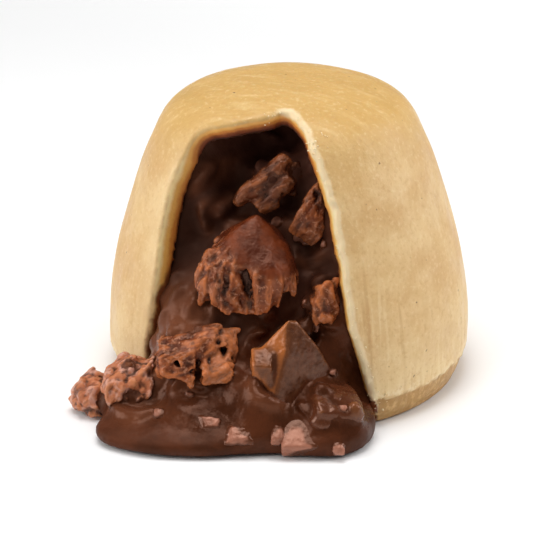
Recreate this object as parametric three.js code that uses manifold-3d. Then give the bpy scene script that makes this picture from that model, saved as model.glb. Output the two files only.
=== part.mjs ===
// Steak and kidney pudding: a suet pastry case turned out of its basin and cut open at the front,
// so that its gravy and its chunks of meat slump out of the cut onto the surface it stands on.
// Millimetres, +Z up. The origin is the centre of the flat foot, and the cut faces -Y.
import * as THREE from "three";
import { mergeVertices } from "three/addons/utils/BufferGeometryUtils.js";
import Module from "manifold-3d";

const wasm = await Module();
wasm.setup();

// Driving dimensions of the pastry case
const footRadius = 34.2; // flat ring that it stands on
const rimRadius = 38; // widest place, just above the foot
const rimHeight = 4.8;
const caseHeight = 62.3;
const wallThickness = 4.3;
const baseThickness = 4;
const gap = 0.3; // left between two pieces that touch
const finestEdge = 0.03; // shorter edges that a cut leaves are closed up
const mergeDistance = 1e-4; // corners closer than this are one

// Facets
const caseSectors = 56;
const sideSteps = 14;
const cutSteps = 52;
const gravySectors = 54;
const gravyRows = 15;
const rowCrowding = 1.5; // rows of the gravy lie closer together towards the floor

// The side of the case from the rim to the middle of the crown, as [radius, height]
const side = new THREE.SplineCurve(
  [
    [rimRadius, rimHeight],
    [37.6, 16],
    [35.6, 27.3],
    [32.3, 38.5],
    [28, 49.9],
    [22.5, 58.2],
    [12, 61.6],
    [0, caseHeight],
  ].map(([radius, height]) => new THREE.Vector2(radius, height)),
);
const footRound = [36.9, 1.9]; // radius and height of the bulge between foot and rim

// The edge of the cut on the case, as [heading, share of the side from rim to crown].
// Headings are in degrees from -Y, positive towards +X.
const cutEdge = [
  [-33, 0],
  [-30.5, 0.15],
  [-31, 0.28],
  [-35.5, 0.45],
  [-40, 0.57],
  [-34, 0.675],
  [-20, 0.752],
  [2, 0.812],
  [13, 0.85],
  [17, 0.79],
  [27, 0.71],
  [32, 0.6],
  [34, 0.45],
  [34.5, 0.26],
  [38, 0.1],
  [42.5, 0],
];
const cutFoot = { headings: [45, -35], radius: 38, height: -5 }; // where the cut leaves the foot
const knifePoint = new THREE.Vector3(1, -2, 27); // inside the case, where the cut's faces meet
const cutReach = 1.5; // how far the cut runs on past the case, as a share

// The slumped front of the gravy, as [height, radius], from the floor to its top inside the case
const slump = [
  [0, 44],
  [6, 42.5],
  [10, 40],
  [15, 36.5],
  [21, 32.5],
  [28, 28],
  [35, 22.5],
  [42, 17.5],
  [48, 13.5],
  [53, 10],
  [caseHeight, 6],
];
const slumpHalfAngle = 29; // degrees each side of the cut's middle
const slumpFade = 9;
const slumpMiddle = 1;
// The tongues of gravy that have run out over the floor, past the rim
const tongues = [
  { heading: -20, reach: 16.3, width: 16 },
  { heading: 26, reach: 9.4, width: 10 },
];
const lipHeight = 2.4; // where a tongue's edge starts to turn in
const lipTop = 7.5; // where a tongue joins the slope
const lipTuck = 0.9; // how far its edge is tucked under at the floor
const gravyLump = 0.7;
const gravyBite = 1; // how far it runs into the wall before the case is cut out of it

// Roundness of a chunk, from 0 for a cube to 1 for a ball, and the depth of its crags as a share
const steak = { meat: "steak", round: 0.66, crag: 0.18 };
const kidney = { meat: "kidney", round: 0.45, crag: 0.06 };
const chunkCell = 3.2; // facets along a chunk are about this long
const cragPitches = [2.2, 3.1, 4.3, 5.6]; // waves that make up the crags, per radius
const firstSeed = 23757;
const seedStep = 7919;

// Chunks of meat: place of the centre, size from end to end, and turn in degrees about X, Y and Z
const chunks = [
  { name: "steak_centre", ...steak, at: [-0.8, -25.2, 31], size: [20, 16, 20], turn: [12, 8, 15] },
  { name: "steak_upper", ...steak, at: [3, -13.5, 46.3], size: [16, 12, 11.5], turn: [10, -18, 20] },
  { name: "steak_right_upper", ...steak, at: [11.6, -17.6, 40], size: [7, 10, 11], turn: [0, 24, 20] },
  { name: "steak_right_lower", ...steak, at: [14.4, -25.4, 25.4], size: [6, 8.5, 11], turn: [0, 10, 28] },
  { name: "steak_left_upper", ...steak, at: [-11, -17.5, 40], size: [9, 9, 11], turn: [8, -12, -10] },
  { name: "steak_left", ...steak, at: [-7.6, -35.6, 15.6], size: [17.5, 11, 13], turn: [14, 10, 8] },
  { name: "kidney_centre", ...kidney, at: [12, -32.4, 15.4], size: [14.5, 14.5, 15], turn: [24, 14, 62] },
  { name: "steak_foot_left", ...steak, at: [-20.4, -38.6, 7.6], size: [13.5, 12, 12.5], turn: [18, -12, 24] },
  { name: "steak_foot_outer", ...steak, at: [-29.8, -36.7, 4], size: [9, 9, 8.4], turn: [0, 14, -20] },
  { name: "kidney_foot_right", ...kidney, at: [20.6, -35.4, 6.4], size: [12, 11, 10.5], turn: [8, 20, 30] },
  { name: "kidney_front_right", ...kidney, at: [15.2, -41, 4.2], size: [9, 7.5, 6.4], turn: [6, -8, 15] },
  { name: "steak_front_left", ...steak, at: [-6, -43, 5.6], size: [14, 9, 7.5], turn: [20, 6, -8] },
];

const materials = {
  pastry: new THREE.MeshStandardMaterial({ color: 0xdcb87f, roughness: 0.55, metalness: 0 }),
  gravy: new THREE.MeshStandardMaterial({ color: 0x4a2a19, roughness: 0.25, metalness: 0 }),
  steak: new THREE.MeshStandardMaterial({ color: 0x7d4a31, roughness: 0.45, metalness: 0 }),
  kidney: new THREE.MeshStandardMaterial({ color: 0x6a4230, roughness: 0.35, metalness: 0 }),
};

// A closed geometry as a solid that can be joined and cut
function solidOf(geometry) {
  const source = geometry.index ? geometry.toNonIndexed() : geometry;
  const bare = new THREE.BufferGeometry().setAttribute("position", source.getAttribute("position"));
  const merged = mergeVertices(bare, mergeDistance);
  const corners = merged.index.array;
  const faces = [];
  for (let i = 0; i < corners.length; i += 3) {
    const [a, b, c] = corners.subarray(i, i + 3);
    if (a !== b && b !== c && c !== a) faces.push(a, b, c);
  }
  const mesh = new wasm.Mesh({
    numProp: 3,
    vertProperties: new Float32Array(merged.attributes.position.array),
    triVerts: new Uint32Array(faces),
  });
  return new wasm.Manifold(mesh);
}

// The largest body of a solid as a geometry, without the scraps that a cut may leave
function geometryOf(solid) {
  const bodies = solid.simplify(finestEdge).decompose();
  const largest = bodies.reduce((a, b) => (b.volume() > a.volume() ? b : a));
  const mesh = largest.getMesh();
  const geometry = new THREE.BufferGeometry();
  geometry.setAttribute("position", new THREE.BufferAttribute(mesh.vertProperties, 3));
  geometry.setIndex(new THREE.BufferAttribute(mesh.triVerts, 1));
  geometry.computeVertexNormals();
  return geometry;
}

// From 1 to 0 as the value goes from one end of a range to the other
function fade(from, to, value) {
  return 1 - THREE.MathUtils.smoothstep(value, from, to);
}

// The point at a heading, a radius and a height
function polar(heading, radius, height) {
  const angle = THREE.MathUtils.degToRad(heading);
  return new THREE.Vector3(radius * Math.sin(angle), -radius * Math.cos(angle), height);
}

// The form turned by the case's outline, moved in by inset and standing at floor
function turnedForm(inset, floor) {
  const outline = [new THREE.Vector2(0, floor), new THREE.Vector2(footRadius - inset, floor)];
  if (floor < footRound[1] - 1) outline.push(new THREE.Vector2(footRound[0] - inset, footRound[1]));
  for (let i = 0; i < sideSteps; i++) {
    const share = i / sideSteps;
    const tangent = side.getTangentAt(share);
    const normal = new THREE.Vector2(tangent.y, -tangent.x);
    outline.push(side.getPointAt(share).addScaledVector(normal, -inset));
  }
  outline.push(new THREE.Vector2(0, caseHeight - inset));
  return solidOf(new THREE.LatheGeometry(outline, caseSectors).rotateX(Math.PI / 2));
}

// A cone from the knife point through the edge of the cut, made narrower by inset
function cutForm(inset) {
  const edge = cutEdge.map(([heading, share]) => {
    const { x: radius, y: height } = side.getPointAt(share);
    return polar(heading, radius, height);
  });
  cutFoot.headings.forEach((heading) => edge.push(polar(heading, cutFoot.radius, cutFoot.height)));
  const middle = edge.reduce((sum, p) => sum.add(p), new THREE.Vector3()).divideScalar(edge.length);
  const curve = new THREE.CatmullRomCurve3(edge, true, "centripetal");
  const ring = curve.getPoints(cutSteps).slice(0, -1);
  ring.forEach((p) => {
    const inward = middle.clone().sub(p).setLength(inset);
    p.add(inward).sub(knifePoint).multiplyScalar(cutReach).add(knifePoint);
  });
  const outside = middle.sub(knifePoint).multiplyScalar(2 * cutReach).add(knifePoint);
  const corners = [];
  ring.forEach((p, i) => {
    const next = ring[(i + 1) % ring.length];
    corners.push(knifePoint, p, next, outside, next, p);
  });
  return solidOf(new THREE.BufferGeometry().setFromPoints(corners));
}

// The pastry case with its cut, grown all over by growth
function pastryCase(growth) {
  const outside = turnedForm(-growth, -growth);
  const inside = turnedForm(wallThickness + growth, baseThickness + growth);
  return outside.subtract(inside).subtract(cutForm(growth));
}

// Radius of the case's side at a height
function sideRadius(height) {
  let low = 0;
  let high = 1;
  for (let i = 0; i < 24; i++) {
    const middle = (low + high) / 2;
    if (side.getPointAt(middle).y < height) low = middle;
    else high = middle;
  }
  return side.getPointAt(low).x;
}

function slumpRadius(height) {
  const above = slump.findIndex(([level]) => level >= height);
  if (above <= 0) return slump[0][1];
  const [lowLevel, lowRadius] = slump[above - 1];
  const [highLevel, highRadius] = slump[above];
  return THREE.MathUtils.mapLinear(height, lowLevel, highLevel, lowRadius, highRadius);
}

// Radius of the gravy: held by the case all round, slumped in the cut, and run out at the floor
function gravyRadius(heading, height) {
  const held = sideRadius(height) - wallThickness + gravyBite;
  const aside = Math.abs(heading - slumpMiddle);
  const open = fade(slumpHalfAngle - slumpFade, slumpHalfAngle + slumpFade, aside);
  const lump = gravyLump * Math.sin(heading / 6 + height / 3) * Math.cos(heading / 9 - height / 4);
  const sloped = THREE.MathUtils.lerp(held, slumpRadius(height) + lump, open);
  const spill = tongues.reduce((most, { heading: middle, reach, width }) => {
    return most + reach * Math.exp(-0.5 * ((heading - middle) / width) ** 2);
  }, 0);
  const tuck = lipTuck * fade(0, lipHeight, height);
  const run = rimRadius + spill - tuck;
  const low = fade(lipHeight, lipTop, height) * (1 - fade(1, 3, spill));
  return Math.max(sloped, THREE.MathUtils.lerp(sloped, run, low));
}

// The gravy before the case and the meat are cut out of it
function gravyForm() {
  const outline = [];
  const top = caseHeight - wallThickness;
  for (let row = 0; row <= gravyRows; row++) {
    outline.push(new THREE.Vector2(1, top * (row / gravyRows) ** rowCrowding));
  }
  const ends = [new THREE.Vector2(0, 0), new THREE.Vector2(0, top)];
  const lathe = new THREE.LatheGeometry([ends[0], ...outline, ends[1]], gravySectors);
  lathe.rotateX(Math.PI / 2);
  const place = lathe.getAttribute("position");
  for (let i = 0; i < place.count; i++) {
    const [x, y, z] = [place.getX(i), place.getY(i), place.getZ(i)];
    if (Math.hypot(x, y) < 0.5) continue;
    const heading = THREE.MathUtils.radToDeg(Math.atan2(x, -y));
    const p = polar(heading, gravyRadius(heading, z), z);
    place.setXYZ(i, p.x, p.y, p.z);
  }
  return solidOf(lathe);
}

// A repeatable draw of numbers from 0 to 1
function draws(seed) {
  let state = seed;
  return () => {
    state = (state * 16807) % 2147483647;
    return state / 2147483647;
  };
}

// Height of the crags on a chunk in a direction, from waves across the grain of the meat
function cragHeight(direction, waves) {
  return waves.reduce((sum, { along, phase, share }) => {
    return sum + share * (1 - 2 * Math.abs(Math.sin(direction.dot(along) + phase)));
  }, 0);
}

// A diced chunk: a cube drawn part of the way to a ball, with crags, grown all over by growth
function chunkForm({ at, size, turn, round, crag }, seed, growth) {
  const draw = draws(seed);
  const waves = cragPitches.map((pitch) => ({
    along: new THREE.Vector3(draw() - 0.5, draw() - 0.5, draw() - 0.5).setLength(pitch),
    phase: draw() * Math.PI,
    share: 1 / pitch,
  }));
  const cells = Math.max(4, Math.round(Math.max(...size) / chunkCell));
  const geometry = new THREE.BoxGeometry(1, 1, 1, cells, cells, cells);
  const place = geometry.getAttribute("position");
  const p = new THREE.Vector3();
  for (let i = 0; i < place.count; i++) {
    p.fromBufferAttribute(place, i);
    const direction = p.clone().normalize();
    p.lerp(direction.clone().multiplyScalar(0.5), round);
    p.multiplyScalar(1 + crag * cragHeight(direction, waves));
    place.setXYZ(i, ...p.multiply(new THREE.Vector3(...size).addScalar(2 * growth)).toArray());
  }
  const turned = new THREE.Euler(...turn.map((degrees) => THREE.MathUtils.degToRad(degrees)));
  const matrix = new THREE.Matrix4().makeRotationFromEuler(turned).setPosition(...at);
  return solidOf(geometry.applyMatrix4(matrix));
}

// Everything below the surface that the pudding stands on
function belowFloor() {
  const depth = 40;
  return solidOf(new THREE.BoxGeometry(200, 200, depth).translate(0, 0, -depth / 2));
}

const pudding = new THREE.Group();

function addPiece(name, solid, material) {
  const mesh = new THREE.Mesh(geometryOf(solid), material);
  mesh.name = name;
  pudding.add(mesh);
}

const grownCase = pastryCase(gap);
const under = belowFloor();
addPiece("pastry_case", pastryCase(0), materials.pastry);

// Each chunk keeps clear of the case and of the chunks before it
let grownChunks = null;
chunks.forEach((chunk, i) => {
  const seed = firstSeed + i * seedStep;
  let solid = chunkForm(chunk, seed, 0).subtract(grownCase).subtract(under);
  if (grownChunks) solid = solid.subtract(grownChunks);
  const grown = chunkForm(chunk, seed, gap);
  grownChunks = grownChunks ? grownChunks.add(grown) : grown;
  addPiece(chunk.name, solid, materials[chunk.meat]);
});

addPiece("gravy", gravyForm().subtract(grownCase).subtract(grownChunks).subtract(under), materials.gravy);

export default pudding;
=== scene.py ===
# Looks of a steak and kidney pudding, in metres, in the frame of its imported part
import math

import bmesh
import bpy
import numpy as np
from mathutils import Matrix, Vector
from mathutils.bvhtree import BVHTree


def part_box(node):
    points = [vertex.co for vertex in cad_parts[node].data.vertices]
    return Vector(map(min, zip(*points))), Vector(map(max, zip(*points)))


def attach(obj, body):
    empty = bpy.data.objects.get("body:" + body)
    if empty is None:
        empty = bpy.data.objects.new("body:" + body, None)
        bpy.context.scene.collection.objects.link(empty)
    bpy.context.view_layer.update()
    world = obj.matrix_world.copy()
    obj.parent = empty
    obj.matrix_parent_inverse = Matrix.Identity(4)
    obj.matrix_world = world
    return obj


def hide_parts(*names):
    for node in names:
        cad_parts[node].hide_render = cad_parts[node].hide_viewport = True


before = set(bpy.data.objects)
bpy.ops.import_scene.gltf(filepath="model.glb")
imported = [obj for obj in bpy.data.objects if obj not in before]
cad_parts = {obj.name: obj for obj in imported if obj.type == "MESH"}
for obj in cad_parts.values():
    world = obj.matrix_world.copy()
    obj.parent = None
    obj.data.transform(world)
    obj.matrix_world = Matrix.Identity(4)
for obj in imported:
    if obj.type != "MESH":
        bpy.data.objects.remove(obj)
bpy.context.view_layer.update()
scene = bpy.context.scene
mm = 0.001
perMetre = 1000.0
atOnce = 4000  # points measured in one go
print("frame loaded:", len(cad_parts), "nodes")


# Small helpers for meshes
def linked(name, data):
    obj = bpy.data.objects.new(name, data)
    scene.collection.objects.link(obj)
    return obj


def facingOut(mesh, merge=0.0):
    # turns the faces outwards, once points closer than merge are made one
    shape = bmesh.new()
    shape.from_mesh(mesh)
    if merge:
        bmesh.ops.remove_doubles(shape, verts=shape.verts, dist=merge)
    bmesh.ops.recalc_face_normals(shape, faces=shape.faces)
    shape.to_mesh(mesh)
    shape.free()
    return mesh


def meshObject(name, points, faces):
    mesh = bpy.data.meshes.new(name)
    mesh.from_pydata([tuple(p) for p in points], [], faces)
    return linked(name, facingOut(mesh))


def applied(obj):
    graph = bpy.context.evaluated_depsgraph_get()
    mesh = bpy.data.meshes.new_from_object(obj.evaluated_get(graph))
    old = obj.data
    obj.modifiers.clear()
    obj.data = mesh
    bpy.data.meshes.remove(old)
    return obj


def coordinates(mesh):
    flat = np.empty(len(mesh.vertices) * 3, np.float32)
    mesh.vertices.foreach_get("co", flat)
    return flat.reshape(-1, 3).astype(float)


def setCoordinates(mesh, points):
    mesh.vertices.foreach_set("co", points.astype(np.float32).ravel())


def settle(obj):
    # nothing goes below the floor
    points = coordinates(obj.data)
    points[:, 2] = np.maximum(points[:, 2], 0)
    setCoordinates(obj.data, points)


def paint(mesh, name, values):
    layer = mesh.attributes.get(name) or mesh.attributes.new(name, "FLOAT", "POINT")
    layer.data.foreach_set("value", np.asarray(values, np.float32))


def ramp(low, high, value):
    share = np.clip((value - low) / (high - low), 0, 1)
    return share * share * (3 - 2 * share)


def bell(along, up, half):
    # 1 in the middle, falling off over the half width
    return np.exp(-0.5 * (along**2 + up**2) / (half / 2) ** 2)


def throughPoints(points, perSpan, closed):
    # a smooth line through the points, with perSpan points from each to the next
    points = np.asarray(points, float)
    count = len(points)
    t = np.arange(perSpan)[:, None] / perSpan
    spans = []
    for i in range(count if closed else count - 1):
        near = [(i + k) % count if closed else min(max(i + k, 0), count - 1) for k in (-1, 0, 1, 2)]
        p = points[near]
        gaps = np.sqrt(np.linalg.norm(np.diff(p, axis=0), axis=1))
        gaps[gaps < 1e-6] = gaps[1]
        a = (p[1] - p[0]) / gaps[0] - (p[2] - p[0]) / (gaps[0] + gaps[1]) + (p[2] - p[1]) / gaps[1]
        b = (p[2] - p[1]) / gaps[1] - (p[3] - p[1]) / (gaps[1] + gaps[2]) + (p[3] - p[2]) / gaps[2]
        spans.append(
            (2 * t**3 - 3 * t**2 + 1) * p[1]
            + (t**3 - 2 * t**2 + t) * gaps[1] * a
            + (3 * t**2 - 2 * t**3) * p[2]
            + (t**3 - t**2) * gaps[1] * b
        )
    if not closed:
        spans.append(points[-1:])
    return np.concatenate(spans)


def atShares(points, shares):
    # places at shares of a line's length
    steps = np.concatenate([[0], np.cumsum(np.linalg.norm(np.diff(points, axis=0), axis=1))])
    wanted = np.asarray(shares, float) * steps[-1]
    return np.stack([np.interp(wanted, steps, points[:, k]) for k in range(points.shape[1])], axis=1)


def polar(heading, radius, height):
    # heading in degrees from -Y, positive towards +X
    angle = np.radians(heading)
    return np.stack([radius * np.sin(angle), -radius * np.cos(angle), height + 0 * angle], axis=-1)


def headingOf(points):
    return np.degrees(np.arctan2(points[:, 0], -points[:, 1]))


def gridFaces(rows, columns, bottom, top):
    faces = []
    for row in range(rows - 1):
        for column in range(columns):
            side = (column + 1) % columns
            a, b = row * columns + column, row * columns + side
            faces.append((a, b, b + columns, a + columns))
    last = (rows - 1) * columns
    for column in range(columns):
        side = (column + 1) % columns
        faces.append((bottom, side, column))
        faces.append((top, last + column, last + side))
    return faces


def ringed(name, rings, low, high):
    # a closed skin over rings of points, from the axis at one height to the axis at another
    ends = polar(np.zeros(2), np.zeros(2), np.array([low, high]))
    count = len(rings[0])
    bottom = len(rings) * count
    faces = gridFaces(len(rings), count, bottom, bottom + 1)
    return meshObject(name, np.concatenate(rings + [ends]) * mm, faces)


def turned(name, outline, sectors):
    # outline runs from the axis below to the axis above
    headings = np.arange(sectors) * 360 / sectors
    rings = [polar(headings, radius, height) for radius, height in outline[1:-1]]
    return ringed(name, rings, outline[0][1], outline[-1][1])


def remeshed(obj, voxel, passes):
    remesh = obj.modifiers.new("even faces", "REMESH")
    remesh.mode = "VOXEL"
    remesh.voxel_size = voxel * mm
    soften = obj.modifiers.new("soften", "SMOOTH")
    soften.factor = 0.5
    soften.iterations = passes
    return applied(obj)


def swollen(obj, reach):
    swell = obj.modifiers.new("swell", "DISPLACE")
    swell.strength = reach * mm
    swell.mid_level = 0


def filled(obj, reach, voxel):
    # swells a shape into one skin and shrinks it again, which fills its creases
    swollen(obj, reach)
    remeshed(obj, voxel, 3)
    swollen(obj, -reach)
    return applied(obj)


def cut(obj, tool, operation):
    step = obj.modifiers.new("cut", "BOOLEAN")
    step.operation = operation
    step.solver = "MANIFOLD"
    step.object = tool
    applied(obj)
    bpy.data.objects.remove(tool)


# Small helpers for node trees
class Flow:
    # what a socket puts out, to be added, subtracted and multiplied
    def __init__(self, socket):
        self.socket = socket
        self.tree = socket.id_data

    def __add__(self, other):
        return calc("ADD", self, other)

    def __sub__(self, other):
        return calc("SUBTRACT", self, other)

    def __rsub__(self, other):
        return calc("SUBTRACT", other, self)

    def __mul__(self, other):
        return calc("MULTIPLY", self, other)


def feed(socket, source):
    if isinstance(source, Flow):
        source.tree.links.new(source.socket, socket)
    else:
        socket.default_value = source


def node(tree, kind, inputs=None, **settings):
    # a new node with its settings, and its inputs linked or set by name
    made = tree.nodes.new(kind)
    for key, value in settings.items():
        setattr(made, key, value)
    for key, value in (inputs or {}).items():
        feed(made.inputs[key], value)
    return made


def output(made, key=0):
    return Flow(made.outputs[key])


def inOrder(kind, values, **settings):
    # a new node beside the first flow among the values, which go into its inputs in order
    tree = next(value.tree for value in values if isinstance(value, Flow))
    made = node(tree, kind, **settings)
    for socket, value in zip(made.inputs, values):
        feed(socket, value)
    return made


def calc(operation, *values):
    return output(inOrder("ShaderNodeMath", values, operation=operation))


def vector(operation, a, b):
    made = inOrder("ShaderNodeVectorMath", (a,), operation=operation)
    feed(made.inputs["Scale"] if operation == "SCALE" else made.inputs[1], b)
    return output(made)


def noise(place, scale, detail=2.0, rough=0.5, distort=0.0):
    inputs = {"Vector": place, "Scale": scale, "Detail": detail, "Roughness": rough, "Distortion": distort}
    return output(node(place.tree, "ShaderNodeTexNoise", inputs))


def spread(value, low, high, toLow=0.0, toHigh=1.0):
    values = (value, low, high, toLow, toHigh)
    return output(inOrder("ShaderNodeMapRange", values, interpolation_type="SMOOTHSTEP"))


def blend(share, a, b):
    made = node(share.tree, "ShaderNodeMix", data_type="RGBA")
    for socket, source in zip((made.inputs[0], made.inputs[6], made.inputs[7]), (share, a, b)):
        feed(socket, source)
    return output(made, 2)


def axes(place):
    return [Flow(socket) for socket in inOrder("ShaderNodeSeparateXYZ", (place,)).outputs]


def point(x, y, z):
    return output(inOrder("ShaderNodeCombineXYZ", (x, y, z)))


def aroundCase(place):
    # unrolls the case's wall: millimetres round it, and height
    x, y, z = axes(place)
    return calc("ARCTAN2", x, y * -1.0) * caseShape["rimRadius"], z


def newTree(name, kind, inputs, outputs):
    tree = bpy.data.node_groups.new(name, kind)
    for label, socketType, default in inputs:
        socket = tree.interface.new_socket(label, in_out="INPUT", socket_type=socketType)
        if default is not None:
            socket.default_value = default
    for label, socketType in outputs:
        tree.interface.new_socket(label, in_out="OUTPUT", socket_type=socketType)
    given = {socket.name: Flow(socket) for socket in node(tree, "NodeGroupInput").outputs if socket.name}
    return tree, given, node(tree, "NodeGroupOutput").inputs


def geometryTree(name, sizes):
    # a Geometry Nodes tree that takes a mesh, named sizes and a material
    kinds = {float: "NodeSocketFloat", int: "NodeSocketInt", tuple: "NodeSocketVector"}
    inputs = [("Geometry", "NodeSocketGeometry", None)]
    inputs += [(key, kinds[type(value)], value) for key, value in sizes.items()]
    inputs += [("Material", "NodeSocketMaterial", None)]
    return newTree(name, "GeometryNodeTree", inputs, [("Geometry", "NodeSocketGeometry")])


def placeIn(tree):
    return vector("SCALE", output(node(tree, "GeometryNodeInputPosition")), perMetre)


def stored(tree, name):
    # a value that was painted on the mesh
    return output(node(tree, "GeometryNodeInputNamedAttribute", {"Name": name}, data_type="FLOAT"))


def keepAs(geometry, values):
    # paints values on the mesh
    for name, value in values.items():
        inputs = {"Geometry": geometry, "Name": name, "Value": value}
        kind = "GeometryNodeStoreNamedAttribute"
        geometry = output(node(geometry.tree, kind, inputs, data_type="FLOAT", domain="POINT"))
    return geometry


def moved(geometry, offset):
    return output(node(geometry.tree, "GeometryNodeSetPosition", {"Geometry": geometry, "Offset": offset}))


def pushed(geometry, lift):
    # moves a surface along its normals
    return moved(geometry, vector("SCALE", output(node(geometry.tree, "GeometryNodeInputNormal")), lift))


def drawn(tree, kind, low, high, seed):
    # a random number or vector for each point
    made = node(tree, "FunctionNodeRandomValue", {"Seed": seed}, data_type=kind)
    wanted = "VECTOR" if kind == "FLOAT_VECTOR" else "VALUE"
    limits = [socket for socket in made.inputs if socket.type == wanted]
    feed(limits[0], low)
    feed(limits[1], high)
    return Flow(next(socket for socket in made.outputs if socket.type == wanted))


def finishTree(geometry, given, result):
    smooth = node(geometry.tree, "GeometryNodeSetShadeSmooth", {"Geometry": geometry})
    real = node(geometry.tree, "GeometryNodeRealizeInstances", {"Geometry": output(smooth)})
    inputs = {"Geometry": output(real), "Material": given["Material"]}
    feed(result["Geometry"], output(node(geometry.tree, "GeometryNodeSetMaterial", inputs)))


def shaped(obj, tree, values):
    # runs a Geometry Nodes tree on obj and keeps the result as a plain mesh
    modifier = obj.modifiers.new(tree.name, "NODES")
    modifier.node_group = tree
    for item in tree.interface.items_tree:
        if item.in_out == "INPUT" and item.name in values:
            modifier[item.identifier] = values[item.name]
    return applied(obj)


def srgb(red, green, blue):
    # a display colour from 0 to 255 as a linear one
    shares = np.array([red, green, blue]) / 255
    linear = np.where(shares <= 0.04045, shares / 12.92, ((shares + 0.055) / 1.055) ** 2.4)
    return (*linear.tolist(), 1.0)


# Camera at the photograph's viewing angle, and the studio
studio = {
    "turnPoint": (0, 0, 28.5),
    "aim": (-2.92, -3.72, 21.82),
    "azimuth": 18.0,
    "elevation": 21.6,
    "distance": 475.0,
    "lens": 150.8,
    "sensor": 36.0,
    "clip": (0.01, 50.0),
    "floor": srgb(250, 250, 250),
    "floorRoughness": 0.9,
    "floorHalf": 3.0,
    "world": 0.17,
    "lights": [
        # name, place, aim, width and depth, spread in degrees, watts
        ("top", (-20, -30, 640), (0, 0, 22), (420, 420), 180, 3.05),
        ("left", (-520, -320, 240), (0, 0, 22), (340, 340), 180, 1.85),
        ("right", (500, 220, 320), (0, 0, 22), (340, 340), 180, 1.92),
        ("front", (-150, -400, 500), (0, 0, 22), (150, 150), 180, 0.4),
        ("behind", (0, 590, 420), (0, 610, 0), (1400, 300), 80, 3.0),
    ],
}


def looking(obj, place, aim):
    obj.location = place
    obj.rotation_euler = (aim - obj.location).to_track_quat("-Z", "Y").to_euler()


def makeStudio():
    azimuth = math.radians(studio["azimuth"])
    elevation = math.radians(studio["elevation"])
    back = Vector((
        math.sin(azimuth) * math.cos(elevation),
        -math.cos(azimuth) * math.cos(elevation),
        math.sin(elevation),
    ))
    camera = linked("camera", bpy.data.cameras.new("camera"))
    camera.data.lens = studio["lens"]
    camera.data.sensor_width = studio["sensor"]
    camera.data.clip_start, camera.data.clip_end = studio["clip"]
    place = (Vector(studio["turnPoint"]) + back * studio["distance"]) * mm
    looking(camera, place, Vector(studio["aim"]) * mm)
    scene.camera = camera
    for name, place, aim, size, angle, watts in studio["lights"]:
        lamp = bpy.data.lights.new(name, "AREA")
        lamp.shape = "RECTANGLE"
        lamp.size = size[0] * mm
        lamp.size_y = size[1] * mm
        lamp.spread = math.radians(angle)
        lamp.energy = watts
        looking(linked(name, lamp), Vector(place) * mm, Vector(aim) * mm)
    world = bpy.data.worlds.new("studio")
    world.use_nodes = True
    sky = world.node_tree.nodes["Background"]
    sky.inputs["Color"].default_value = (1, 1, 1, 1)
    sky.inputs["Strength"].default_value = studio["world"]
    scene.world = world
    half = studio["floorHalf"]
    corners = [(-half, -half, 0), (half, -half, 0), (half, half, 0), (-half, half, 0)]
    floor = meshObject("floor", corners, [(0, 1, 2, 3)])
    paper = bpy.data.materials.new("studio paper")
    paper.use_nodes = True
    shader = paper.node_tree.nodes["Principled BSDF"]
    shader.inputs["Base Color"].default_value = studio["floor"]
    shader.inputs["Roughness"].default_value = studio["floorRoughness"]
    floor.data.materials.append(paper)
    scene.view_settings.view_transform = "Standard"
    scene.cycles.use_denoising = True


# The pastry case in millimetres, as the part has it
caseShape = {
    "footRadius": 35.0,
    "rimRadius": 38.0,
    "rimHeight": 4.8,
    "height": 62.7,
    "wall": 4.3,
    "base": 4.0,
    "footRound": (37.1, 1.8),
    "side": [(37.7, 16), (35.9, 27.3), (32.7, 38.5), (28.7, 49.9), (23.9, 58), (13.2, 62)],
    # edge of the cut: heading in degrees, share of the side from rim to crown
    "cutEdge": [
        (-33, 0), (-32, 0.1), (-31.3, 0.21), (-31.8, 0.32), (-33.6, 0.42), (-34.3, 0.52), (-32, 0.62),
        (-29, 0.678), (-24.6, 0.7), (-19, 0.714), (-5, 0.753), (6, 0.777), (14.6, 0.803), (24.2, 0.743),
        (28.3, 0.666), (31.5, 0.6), (33.9, 0.526), (35.5, 0.45), (36.3, 0.376), (36.8, 0.287),
        (37.8, 0.223), (39.5, 0.164), (41.8, 0.096), (44, 0.025), (45, 0),
    ],
    "cutFoot": [(46, 38, -5), (-34, 38, -5)],
    "knifePoint": (1, -2, 27),
    "cutReach": 1.5,
    "cutWaver": 0.45,
    "cutWaves": (9, 17, 29),
    # the left side was cut straighter: share of the waver there, and from and to which x it grows to all
    "cutSteady": (0.25, -4, 8),
    # the torn edge at the right, and at the left a rim painted pale as a painted highlight: distances from
    # the cut over which each ends, and the x over which it begins
    "torn": ((0.4, 2.4), (-2, 6)),
    "rim": ((0.5, 7), (4, -6)),
    # gravy near the wall is looked for behind the skin or below a height, up to this far away
    "skin": 0.2,
    "stainHeight": 16,
    "far": 20.0,
    "skinPoints": 900,
    # heading, height, half width and depth of places where the wall is thicker
    "thick": [(-36, 38, 14, 0.6), (-34, 14, 14, 0.6)],
    "sectors": 220,
    "voxel": 0.66,
    "softening": 8,
}
rim = (caseShape["rimRadius"], caseShape["rimHeight"])
caseSide = throughPoints([rim, *caseShape["side"], (0, caseShape["height"])], 24, False)


def caseOutline(inset, floor):
    steps = np.diff(caseSide, axis=0)
    steps = np.concatenate([steps[:1], (steps[1:] + steps[:-1]) / 2, steps[-1:]])
    normals = np.stack([steps[:, 1], -steps[:, 0]], axis=1)
    normals /= np.linalg.norm(normals, axis=1)[:, None]
    wall = caseSide - normals * inset
    wall[-1] = (0, caseShape["height"] - inset)
    foot = [(0, floor), (caseShape["footRadius"] - inset, floor)]
    if inset <= 0:
        foot.append(caseShape["footRound"])
    return np.concatenate([foot, wall[np.concatenate([[True], wall[1:, 0] > 0.01])], wall[-1:]])


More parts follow.
